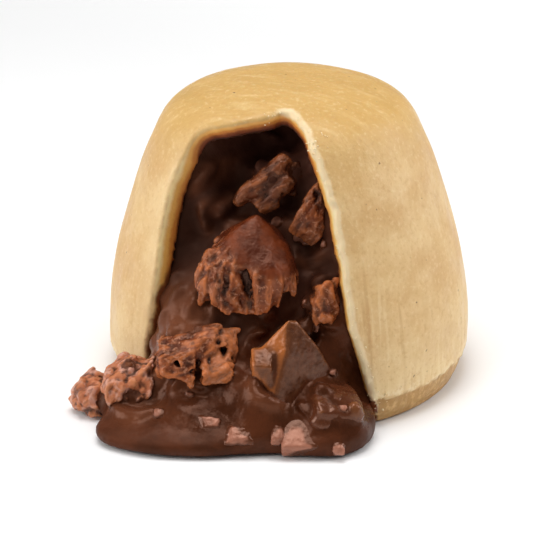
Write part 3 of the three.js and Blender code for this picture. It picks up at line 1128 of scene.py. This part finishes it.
            (-3.6, -0.8, 2.7), (3.3, -1, 3.2), (4.4, 4.1, -0.9), (-3, 4.3, -1), (-3, 2.4, -4),
            (4.2, 2.2, -4), (-3.6, -4, -4), (3.5, -4, -4), (-3, -4, 1.3), (3, -4, 2.0),
        ]],
    ),
}
meats = list(meatLook)

strandSizes = {
    "Grain": (0.0, 0.0, 0.0),
    "Strand Width": 2.0,
    "Strand Length": 6.0,
    "Strand Gap": 2.4,
    "Sink": 0.15,
    "Seed": 0,
}


def strandTree():
    tree, given, result = geometryTree("torn strands", strandSizes)
    strew = node(tree, "GeometryNodeDistributePointsOnFaces", {
        "Mesh": given["Geometry"],
        "Distance Min": given["Strand Gap"] * mm,
        "Density Factor": stored(tree, "ragged"),
        "Seed": given["Seed"],
    }, distribute_method="POISSON")
    strew.inputs["Density Max"].default_value = 4e6
    normal = output(strew, "Normal")
    # each strand lies along the grain, a little astray, and nearly flat on the surface
    stray = drawn(tree, "FLOAT_VECTOR", (-0.25, -0.25, -0.25), (0.25, 0.25, 0.25), given["Seed"])
    along = vector("ADD", vector("NORMALIZE", given["Grain"], (0, 0, 0)), stray)
    outward = vector("SCALE", vector("PROJECT", along, normal), 0.8)
    flat = vector("SUBTRACT", along, outward)
    lay = node(tree, "FunctionNodeAlignRotationToVector", {"Vector": flat}, axis="Z")
    size = drawn(tree, "FLOAT", 0.5, 1.45, given["Seed"] + 3.0)
    wide = given["Strand Width"] * size
    long = given["Strand Length"] * (1.8 - size)
    sunk = moved(output(strew, "Points"), vector("SCALE", normal, wide * given["Sink"] * -mm))
    ball = node(tree, "GeometryNodeMeshIcoSphere", {"Radius": 0.5 * mm, "Subdivisions": 3})
    put = node(tree, "GeometryNodeInstanceOnPoints", {
        "Points": sunk,
        "Instance": output(ball, "Mesh"),
        "Rotation": output(lay),
        "Scale": point(wide, wide, long),
    })
    both = node(tree, "GeometryNodeJoinGeometry")
    feed(both.inputs[0], output(put))
    feed(both.inputs[0], given["Geometry"])
    finishTree(output(both), given, result)
    return tree


def strewn(obj, strands, sizes, grain, sink, seed, material):
    width, length, gap = sizes
    shaped(obj, strands, {
        "Grain": grain,
        "Strand Width": width,
        "Strand Length": length,
        "Strand Gap": gap,
        "Sink": sink,
        "Seed": seed,
        "Material": material,
    })


meatSizes = {
    "Middle": (0.0, 0.0, 0.0),
    "Pit Depth": 1.5,
    "Grain Depth": 0.4,
    "Fibre Depth": 0.7,
    "Grain": (0.0, 0.0, 0.0),
    "Coat Level": 9.0,
    "Coat Tilt": 0.0,
    "Tone": 0.5,
    "Tone Across": 0.0,
    "Painted Side Light": 0.0,
    "Shift": 0.0,
}


def meatReliefTree():
    tree, given, result = geometryTree("meat relief", meatSizes)
    position = output(node(tree, "GeometryNodeInputPosition"))
    normal = output(node(tree, "GeometryNodeInputNormal"))
    place = vector("SCALE", position, perMetre)
    own = vector("SUBTRACT", place, given["Middle"])
    right, _, up = axes(own)
    shifted = vector("ADD", own, point(given["Shift"], 0.0, 0.0))
    # the surface evened out a little, and a lot
    evened = []
    for steps in (14, 40):
        blur = node(tree, "GeometryNodeBlurAttribute", {"Iterations": steps}, data_type="FLOAT_VECTOR")
        feed(next(socket for socket in blur.inputs if socket.type == "VECTOR"), position)
        evened.append(Flow(next(socket for socket in blur.outputs if socket.type == "VECTOR")))
    rise = node(tree, "ShaderNodeVectorMath", operation="DOT_PRODUCT")
    feed(rise.inputs[0], vector("SUBTRACT", position, evened[0]))
    feed(rise.inputs[1], normal)
    proud = output(rise, "Value") * perMetre
    cloud = noise(shifted, 0.2, 2.0, 0.5, 0.6)
    pit = spread(cloud, 0.36, 0.27)
    fine = noise(shifted, 0.9, 3.0, 0.6) - 0.5
    # fibres: a noise drawn out along the grain
    along = vector("PROJECT", shifted, vector("NORMALIZE", given["Grain"], (0, 0, 0)))
    drawnOut = vector("ADD", vector("SUBTRACT", shifted, along), vector("SCALE", along, 0.16))
    fibre = noise(drawnOut, 0.85, 2.0, 0.55, 0.3)
    # gravy coats what lies above a ragged level
    wet = up + (cloud - 0.5) * 9.0 + right * given["Coat Tilt"]
    coat = spread(wet - given["Coat Level"], -1.5, 1.0)
    bare = 1.0 - coat
    lift = fine * given["Grain Depth"] - pit * given["Pit Depth"]
    lift = lift + (fibre - 0.5) * (given["Fibre Depth"] * 2.0)
    lift = lift * calc("MAXIMUM", bare, 0.2) * mm * spread(axes(place)[2], 0.1, 1.5)
    smoothed = vector("SCALE", vector("SUBTRACT", evened[1], position), coat * 0.8)
    tone = given["Tone"] + (cloud - 0.5) * 1.2 + right * given["Tone Across"]
    # painted side light: faces turned towards -x are painted paler
    tone = tone - axes(normal)[0] * given["Painted Side Light"]
    # painted shade in creases, pits and the gaps between fibres, and a painted highlight on crests and fibre
    # ridges
    stringy = spread(given["Fibre Depth"], 0.0, 0.5)
    between = spread(fibre, 0.46, 0.34, 0.0, 0.7) * stringy
    hollow = calc("MAXIMUM", calc("MAXIMUM", spread(proud, 0.0, -0.16), pit), between) * bare
    ridge = spread(fibre, 0.52, 0.68) * stringy
    crestHighlight = calc("MAXIMUM", spread(proud, 0.0, 0.3), ridge) * bare
    geometry = keepAs(given["Geometry"], {"hollow": hollow, "crestHighlight": crestHighlight, "coat": coat, "tone": tone})
    geometry = moved(geometry, vector("ADD", vector("SCALE", normal, lift), smoothed))
    finishTree(geometry, given, result)
    return tree


def makeMeats(gravySurface, strands, relief, materials):
    pieces = {}
    for number, name in enumerate(meats):
        look = meatLook[name]
        material = materials[look.get("finish", name.split("_")[0])]
        middle, chunk = chunkForm(name, "core")
        for layer, (kind, sink) in enumerate((("lumps", look["sink"]), ("strands", meatMesh["strandSink"]))):
            if look[kind] is None:
                continue
            height = coordinates(chunk.data)[:, 2] / mm - middle[2] - look["coat"]
            paint(chunk.data, "ragged", 1 - ramp(*meatMesh["coatEdge"], height))
            seed = meatMesh["seed"] + number + meatMesh["layerSeed"] * layer
            strewn(chunk, strands, look[kind], look["grain"], sink, seed, material)
        if "hanging" in look:
            addMesh(chunk, tubesOf(middle, look["hanging"]))
            filled(chunk, look["fill"], meatMesh["fillVoxel"])
        if "holes" in look:
            remeshed(chunk, meatMesh["voxel"], 0)
            cut(chunk, linked("holes", tubesOf(middle, look["holes"])), "DIFFERENCE")
        remeshed(chunk, meatMesh["voxel"], look["soft"])
        shaped(chunk, relief, {
            "Middle": middle,
            "Pit Depth": look["pit"],
            "Grain Depth": look["fine"],
            "Fibre Depth": look["fibre"],
            "Grain": look["grain"],
            "Coat Level": look["coat"],
            "Coat Tilt": look["coatTilt"],
            "Tone": look["tone"],
            "Tone Across": look["across"],
            "Painted Side Light": look["facing"],
            "Shift": meatMesh["shift"] * number,
            "Material": material,
        })
        paintShadeAndSheen(chunk)
        paintWet(chunk, gravySurface)
        pieces[name] = chunk
    return pieces


# A shader group that the materials share: two colours in clouds
def mottleGroup():
    inputs = [
        ("Vector", "NodeSocketVector", None),
        ("Scale", "NodeSocketFloat", 1.0),
        ("Detail", "NodeSocketFloat", 3.0),
        ("Low", "NodeSocketFloat", 0.35),
        ("High", "NodeSocketFloat", 0.65),
        ("Dark Color", "NodeSocketColor", None),
        ("Light Color", "NodeSocketColor", None),
    ]
    tree, given, result = newTree("mottle", "ShaderNodeTree", inputs, [("Color", "NodeSocketColor")])
    mask = spread(noise(given["Vector"], given["Scale"], given["Detail"], 0.6), given["Low"], given["High"])
    feed(result["Color"], blend(mask, given["Dark Color"], given["Light Color"]))
    return tree


mottle = mottleGroup()


def mottled(place, scale, dark, light, **others):
    inputs = {"Vector": place, "Scale": scale, "Dark Color": dark, "Light Color": light, **others}
    return output(node(place.tree, "ShaderNodeGroup", inputs, node_tree=mottle))


def newMaterial(name):
    material = bpy.data.materials.new(name)
    material.use_nodes = True
    tree = material.node_tree
    place = vector("SCALE", output(node(tree, "ShaderNodeTexCoord"), "Object"), perMetre)
    return material, tree, place


def dressed(material, inputs):
    shader = material.node_tree.nodes["Principled BSDF"]
    for key, value in inputs.items():
        feed(shader.inputs[key], value)
    return material


def painted(tree, name):
    return output(node(tree, "ShaderNodeAttribute", attribute_name=name), "Fac")


def shineOf(place, scale, low, high):
    # a roughness that wanders between two values
    return spread(noise(place, scale, 2.0), 0.3, 0.7, low, high)


def bump(height, distance):
    return output(node(height.tree, "ShaderNodeBump", {"Distance": distance * mm, "Height": height}))


pastryFinish = {
    "wallPale": srgb(222, 188, 134),
    "wallTan": srgb(208, 167, 110),
    "topGold": srgb(204, 163, 96),
    "smear": srgb(219, 184, 124),
    "smearTurn": 35,
    "smearScale": (0.12, 0.5, 0.12),
    "streakDark": srgb(190, 142, 84),
    # pale of the streaks; also the painted light on the lower wall and the painted highlight on the left rim
    "paleForStreaksAndPaintedLight": srgb(231, 205, 155),
    "flake": srgb(236, 214, 172),
    "speck": srgb(112, 76, 36),
    "band": srgb(170, 126, 62),
    # cream near the skin, painted lighter than the dough as painted light on the shaded cut face
    "cutCreamWithPaintedLight": srgb(248, 220, 158),
    # depths in millimetres from and to which the cut faces turn each darker colour
    "cutShades": [
        (0.9, 2.2, srgb(234, 176, 88)),
        (2.2, 3.5, srgb(202, 124, 48)),
        (3.5, 4.8, srgb(128, 58, 18)),
        (4.8, 6.5, srgb(62, 29, 15)),
    ],
    "stain": srgb(122, 60, 20),
    "roughness": (0.4, 0.62),
    "subsurface": 0.18,
    "subsurfaceRadius": (1.0, 0.6, 0.3),
    "subsurfaceScale": 2.0,
    "bump": 0.12,
}


def pastryMaterial():
    finish = pastryFinish
    material, tree, place = newMaterial("suet pastry")
    around, height = aroundCase(place)
    color = mottled(place, 0.09, finish["wallTan"], finish["wallPale"])
    # a golden top with smears across it
    top = spread(height + noise(place, 0.1) * 9.0, 50.0, 66.0)
    color = blend(top, color, finish["topGold"])
    turn = node(tree, "ShaderNodeMapping", {
        "Vector": place,
        "Rotation": (0, 0, math.radians(finish["smearTurn"])),
        "Scale": finish["smearScale"],
    })
    smear = spread(noise(output(turn), 1.0, 3.0, 0.6), 0.5, 0.72)
    color = blend(smear * top * 0.7, color, finish["smear"])
    # streaks down the wall, more of them at the right
    streak = noise(point(around * 0.75, height * 0.06, 0.0), 1.0, 1.5, 0.5, 0.2)
    wall = spread(height, 46.0, 14.0, 0.0, 0.75)
    patch = spread(noise(place, 0.07, 1.0), 0.42, 0.62, 0.15, 1.0)
    strength = wall * patch * spread(axes(place)[0], -12.0, 12.0, 0.3, 1.0)
    # painted light: the lower wall is painted paler, as if lit from the floor below
    color = blend(spread(height, 26.0, 8.0, 0.0, 0.45), color, finish["paleForStreaksAndPaintedLight"])
    color = blend(spread(streak, 0.47, 0.3) * strength, color, finish["streakDark"])
    color = blend(spread(streak, 0.54, 0.7) * strength, color, finish["paleForStreaksAndPaintedLight"])
    # fine grain and dark specks
    grain = noise(place, 1.1, 2.0, 0.6)
    color = blend(spread(grain, 0.46, 0.3, 0.0, 0.3), color, finish["streakDark"])
    color = blend(spread(grain, 0.55, 0.7, 0.0, 0.35), color, finish["paleForStreaksAndPaintedLight"])
    color = blend(spread(noise(place, 0.8, 1.0), 0.76, 0.82, 0.0, 0.75), color, finish["speck"])
    # the band round the foot, and the shreds above it
    band = mottled(place, 0.7, finish["band"], finish["wallTan"], Low=0.45, High=0.75)
    color = blend(painted(tree, "lip") * 0.9, color, band)
    shred = painted(tree, "fringe") * spread(noise(place, 0.6, 3.0, 0.6), 0.46, 0.6)
    color = blend(shred * 0.75, color, finish["flake"])
    # the cut faces, from cream at the skin, painted lighter than the dough as painted light on the shaded
    # face, to brown where the gravy has soaked in
    rough = (noise(place, 0.5, 3.0) - 0.5) * 1.2
    depth = painted(tree, "depth") * spread(height, 49.0, 56.0, 1.0, 1.7) + rough
    # a painted highlight along the rim of the left cut edge, fading at the top
    color = blend(painted(tree, "rim") * spread(height, 56.0, 48.0, 0.0, 0.3), color, finish["paleForStreaksAndPaintedLight"])
    color = blend(spread(depth, 0.3, 0.9) * spread(height, 56.0, 48.0, 0.1, 1.0), color, finish["cutCreamWithPaintedLight"])
    for low, high, shade in finish["cutShades"]:
        color = blend(spread(depth, low, high), color, shade)
    color = blend(spread(painted(tree, "torn") + rough * 0.5, 0.35, 0.9, 0.0, 0.8), color, finish["flake"])
    color = blend(spread(painted(tree, "gravyNear") + rough * 1.4, 1.7, 0.4), color, finish["stain"])
    return dressed(material, {
        "Base Color": color,
        "Roughness": shineOf(place, 0.16, *finish["roughness"]),
        "Subsurface Weight": finish["subsurface"],
        "Subsurface Radius": finish["subsurfaceRadius"],
        "Subsurface Scale": finish["subsurfaceScale"] * mm,
        "Normal": bump(grain + streak * wall * 1.2, finish["bump"]),
    })


gravyFinish = {
    "dark": srgb(60, 29, 15),
    "light": srgb(82, 42, 24),
    # painted shade deep in the cut
    "deepShade": srgb(64, 34, 25),
    # painted shade in the pockets
    "shadePockets": srgb(32, 14, 8),
    # paler places, and the painted sheen on folds and coated lumps
    "pale": srgb(122, 72, 48),
    # how far the paler places with their painted sheen, the painted shade and the pockets of painted shade
    # each take their own colour
    "shares": {"pale": 0.8, "deepShade": 0.9, "shadePockets": 0.85},
    "roughness": (0.14, 0.3),
    # how much rougher it is in the pool, and deep in the cut
    "poolRoughness": 0.32,
    "deepRoughness": 0.4,
    "specular": 0.22,
    "gloss": (1.0, 0.54, 0.38, 1.0),
    "bump": 0.08,
}


def gravyMaterial():
    finish = gravyFinish
    material, tree, place = newMaterial("brown gravy")
    color = mottled(place, 0.12, finish["dark"], finish["light"], Detail=4.0)
    # paler places with a painted sheen, and painted shade deep in the cut and in pockets
    for name, share in finish["shares"].items():
        color = blend(painted(tree, name) * share, color, finish[name])
    pool = spread(axes(place)[2], 6.0, 2.5, 0.0, finish["poolRoughness"]) * (1.0 - painted(tree, "pale"))
    dull = calc("MAXIMUM", painted(tree, "deepShade"), painted(tree, "shadePockets")) * finish["deepRoughness"]
    return dressed(material, {
        "Base Color": color,
        "Roughness": shineOf(place, 0.3, *finish["roughness"]) + pool + dull,
        "Specular IOR Level": finish["specular"],
        "Specular Tint": finish["gloss"],
        "Normal": bump(noise(place, 1.1, 3.0), finish["bump"]),
    })


steakFinish = {
    "dark": srgb(74, 30, 16),
    "middle": srgb(118, 57, 31),
    "pale": srgb(168, 98, 58),
    "crestHighlight": srgb(202, 116, 66),
    # painted shade in creases, pits and between fibres
    "hollow": srgb(28, 11, 7),
    "coat": srgb(110, 48, 21),
    "fatAndSheen": srgb(184, 126, 96),
    # share of the patches of fat with a painted sheen, with their pitch and the noise they start and end at
    "fatAndSheenAmount": 0.6,
    "patch": (0.95, 0.54, 0.68),
    "blotch": 1.6,
    "crestHighlightShare": 0.7,
    "roughness": (0.06, 0.26),
    "specular": 0.55,
    "gloss": (1.0, 0.54, 0.38, 1.0),
    "bump": 0.2,
}
kidneyFinish = {
    "dark": srgb(70, 37, 21),
    "middle": srgb(88, 50, 30),
    "pale": srgb(172, 98, 48),
    "crestHighlight": srgb(150, 88, 48),
    "hollow": srgb(74, 38, 21),
    "coat": srgb(82, 44, 26),
    "fatAndSheen": srgb(120, 72, 46),
    "fatAndSheenAmount": 0.15,
    "patch": (0.95, 0.54, 0.68),
    "blotch": 1.6,
    "crestHighlightShare": 0.35,
    "roughness": (0.12, 0.32),
    "specular": 0.6,
    "gloss": (1.0, 0.6, 0.45, 1.0),
    "bump": 0.05,
}
# pieces at the foot, out of the gravy, with broad pinkish-grey patches of fat and painted sheen
footFinish = {
    **steakFinish,
    "pale": srgb(182, 106, 70),
    "crestHighlight": srgb(206, 134, 90),
    "fatAndSheen": srgb(206, 156, 138),
    "hollow": srgb(50, 23, 14),
    "fatAndSheenAmount": 0.85,
    "patch": (0.5, 0.47, 0.68),
    "bump": 0.3,
}
# pieces at the front, painted pale pink as a painted highlight on their gravy-coated faces
pinkHighlightFinish = {
    **kidneyFinish,
    "middle": srgb(104, 57, 39),
    "pale": srgb(160, 105, 84),
    "crestHighlight": srgb(162, 107, 86),
    "fatAndSheen": srgb(172, 118, 98),
    "fatAndSheenAmount": 0.3,
    "blotch": 0.5,
    "specular": 0.5,
}


def meatMaterial(name, finish):
    material, tree, place = newMaterial(name)
    meat = mottled(place, 0.45, finish["dark"], finish["middle"])
    # paler with the tone, which on the kidney also carries a painted side light
    meat = blend(spread(painted(tree, "tone"), 0.3, 1.1), meat, finish["pale"])
    # a painted highlight on crests and fibre ridges
    meat = blend(painted(tree, "crestHighlight") * finish["crestHighlightShare"], meat, finish["crestHighlight"])
    scale, low, high = finish["patch"]
    # patches of fat with a painted sheen
    fatAndSheenAmount = spread(noise(place, scale, 2.0, 0.6, 0.5), low, high, 0.0, finish["fatAndSheenAmount"])
    meat = blend(fatAndSheenAmount, meat, finish["fatAndSheen"])
    meat = blend(painted(tree, "coat"), meat, mottled(place, 0.2, finish["dark"], finish["coat"]))
    # painted shade in creases, pits and between fibres
    meat = blend(painted(tree, "hollow"), meat, finish["hollow"])
    # gravy clings where it dips in, with a ragged edge
    ragged = (noise(place, 0.8, 2.0) - 0.5) * finish["blotch"]
    meat = blend(spread(painted(tree, "wet") + ragged, 0.25, 0.85), meat, gravyFinish["light"])
    # painted shade deep in the cut
    meat = blend(painted(tree, "deepShade") * 0.5, meat, finish["hollow"])
    return dressed(material, {
        "Base Color": meat,
        "Roughness": shineOf(place, 0.8, *finish["roughness"]),
        "Specular IOR Level": finish["specular"],
        "Specular Tint": finish["gloss"],
        "Normal": bump(noise(place, 1.4, 4.0, 0.65), finish["bump"]),
    })


# Bits of meat at the front of the pool, coated with gravy, painted pale pink as a painted highlight
bitShape = {
    "tilt": 52,
    # height over the gravy and size of a bit at its top, near the gravy and below it
    "layers": [(0.6, 0.75), (-0.4, 1.1), (-2.0, 1.0)],
    "corners": [(-1, -1), (1, -0.8), (0.9, 1), (-0.8, 0.9)],
    "uneven": (0.6, 1.2),
    "seed": 3,
    "voxel": 0.28,
    "softening": 16,
    # heading, radius, height, half width and half length
    "places": [
        (6.6, 45.2, 3.8, 3.2, 2.2), (-2.3, 45.2, 4.6, 2.4, 1.8), (-13.6, 45.8, 5.2, 1.8, 1.3),
        (29.4, 46.6, 3.4, 1.4, 1.4), (14.6, 44.9, 4.8, 1.6, 2.2), (31, 44, 7.8, 1.4, 1.0),
        (13.6, 17.7, 38.5, 2.2, 1.2), (24.2, 21, 36.7, 1.4, 1.0), (27, 22.1, 35.8, 1.2, 0.8),
        (32.8, 25.9, 36.9, 0.9, 1.3), (27.3, 31, 22.2, 1.2, 1.2), (24, 30.9, 26.6, 0.8, 0.8),
        (32.2, 35.8, 13.2, 1.0, 1.0), (-9, 42.9, 9.9, 1.2, 0.8),
    ],
    "relief": {
        "Middle": (0, 0, 0),
        "Pit Depth": 0.0,
        "Grain Depth": 0.5,
        "Fibre Depth": 0.15,
        "Grain": (1, 0, 0.2),
        "Coat Level": 90.0,
        "Tone": 0.9,
    },
}


def makeBits(gravySurface, relief, material):
    shape = bitShape
    tilt = math.radians(shape["tilt"])
    draw = np.random.default_rng(shape["seed"])
    bits = None
    for heading, radius, height, wide, long in shape["places"]:
        middle = gravySurface.find_nearest(Vector(polar(heading, radius, height)) * mm)[0] / mm
        corners = []
        for depth, grow in shape["layers"]:
            for side, along in shape["corners"]:
                run = along * long * grow * draw.uniform(*shape["uneven"])
                across = side * wide * grow * draw.uniform(*shape["uneven"])
                toward = run * math.sin(tilt) + depth * math.cos(tilt)
                corners.append((across, toward, depth * math.sin(tilt) - run * math.cos(tilt)))
        bit = hullOf("meat_bits", middle, corners)
        if bits is None:
            bits = bit
        else:
            addMesh(bits, bit.data)
            bpy.data.objects.remove(bit)
    remeshed(bits, shape["voxel"], shape["softening"])
    shaped(bits, relief, {**shape["relief"], "Material": material})
    paintShadeAndSheen(bits)
    paintWet(bits, gravySurface)
    return bits


# Crumbs of pastry along the edge of the cut
crumbShape = {"Density": 1100000.0, "Smallest": 0.07, "Largest": 0.26, "Seed": 7}
crumbSpread = {
    # share of crumbs all along the torn edge, and how deep in the wall they lie
    "alongEdge": 0.25,
    "deepest": 2.2,
    # how sharply they end round the places where they gather
    "sharpness": 1.6,
    # heading and height of those places, with their spread in mm
    "places": [(10, 60.5, 3.0), (30, 57, 3.0), (37, 23, 1.8), (40, 14, 1.8), (44, 7, 2.2), (47, 4.5, 2.2)],
}


def crumbTree():
    tree, given, result = geometryTree("pastry crumbs", crumbShape)
    strew = node(tree, "GeometryNodeDistributePointsOnFaces", {
        "Mesh": given["Geometry"],
        "Density": stored(tree, "crumbs") * given["Density"],
        "Seed": given["Seed"],
    }, distribute_method="RANDOM")
    ball = node(tree, "GeometryNodeMeshIcoSphere", {"Radius": mm, "Subdivisions": 2})
    lay = node(tree, "GeometryNodeInstanceOnPoints", {
        "Points": output(strew, "Points"),
        "Instance": output(ball, "Mesh"),
        "Rotation": output(strew, "Rotation"),
        "Scale": drawn(tree, "FLOAT_VECTOR", given["Smallest"], given["Largest"], given["Seed"]),
    })
    finishTree(output(lay), given, result)
    return tree


def readBack(mesh, name):
    values = np.empty(len(mesh.vertices), np.float32)
    mesh.attributes[name].data.foreach_get("value", values)
    return values


def makeCrumbs(case, material):
    bed = linked("crumbs", case.data.copy())
    points = coordinates(bed.data) / mm
    share = readBack(bed.data, "torn") * crumbSpread["alongEdge"]
    for heading, height, reach in crumbSpread["places"]:
        level = np.clip(height, caseShape["rimHeight"], caseShape["height"])
        radius = np.interp(level, caseSide[:, 1], caseSide[:, 0])
        apart = np.linalg.norm(points - polar(np.array(heading), radius, height), axis=1)
        share += np.exp(-0.5 * (apart / reach * crumbSpread["sharpness"]) ** 2)
    share *= readBack(bed.data, "depth") < crumbSpread["deepest"]
    paint(bed.data, "crumbs", share)
    return shaped(bed, crumbTree(), {**crumbShape, "Material": material})


crumbFinish = {"dark": srgb(226, 196, 142), "light": srgb(242, 224, 184), "roughness": 0.6, "bump": 0.15}


def crumbMaterial():
    material, _, place = newMaterial("pastry crumb")
    return dressed(material, {
        "Base Color": mottled(place, 0.6, crumbFinish["dark"], crumbFinish["light"]),
        "Roughness": crumbFinish["roughness"],
        "Normal": bump(noise(place, 2.0, 2.0), crumbFinish["bump"]),
    })


# Everything together
makeStudio()
print("studio ready")
strands = strandTree()
gravy = makeGravy(strands, gravyMaterial())
print("gravy:", len(gravy.data.polygons), "faces")
gravySurface = BVHTree.FromObject(gravy, bpy.context.evaluated_depsgraph_get())
pastry = makePastry(gravySurface, pastryMaterial())
print("pastry:", len(pastry.data.polygons), "faces")
relief = meatReliefTree()
meatMaterials = {
    "steak": meatMaterial("stewed steak", steakFinish),
    "kidney": meatMaterial("stewed kidney", kidneyFinish),
    "foot": meatMaterial("stewed steak outside", footFinish),
    "pink": meatMaterial("meat painted with pink highlights", pinkHighlightFinish),
}
chunks = makeMeats(gravySurface, strands, relief, meatMaterials)
bits = makeBits(gravySurface, relief, meatMaterials["pink"])
print("meat:", sum(len(chunk.data.polygons) for chunk in chunks.values()), "faces")
crumbs = makeCrumbs(pastry, crumbMaterial())
print("crumbs:", len(crumbs.data.polygons), "faces")

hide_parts("pastry_case")
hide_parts("gravy")
for piece, slot in ((pastry, "pastry"), (crumbs, "pastry"), (gravy, "gravy"), (bits, "kidney")):
    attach(piece, "root")
for name, chunk in chunks.items():
    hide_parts(name)
    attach(chunk, "root")
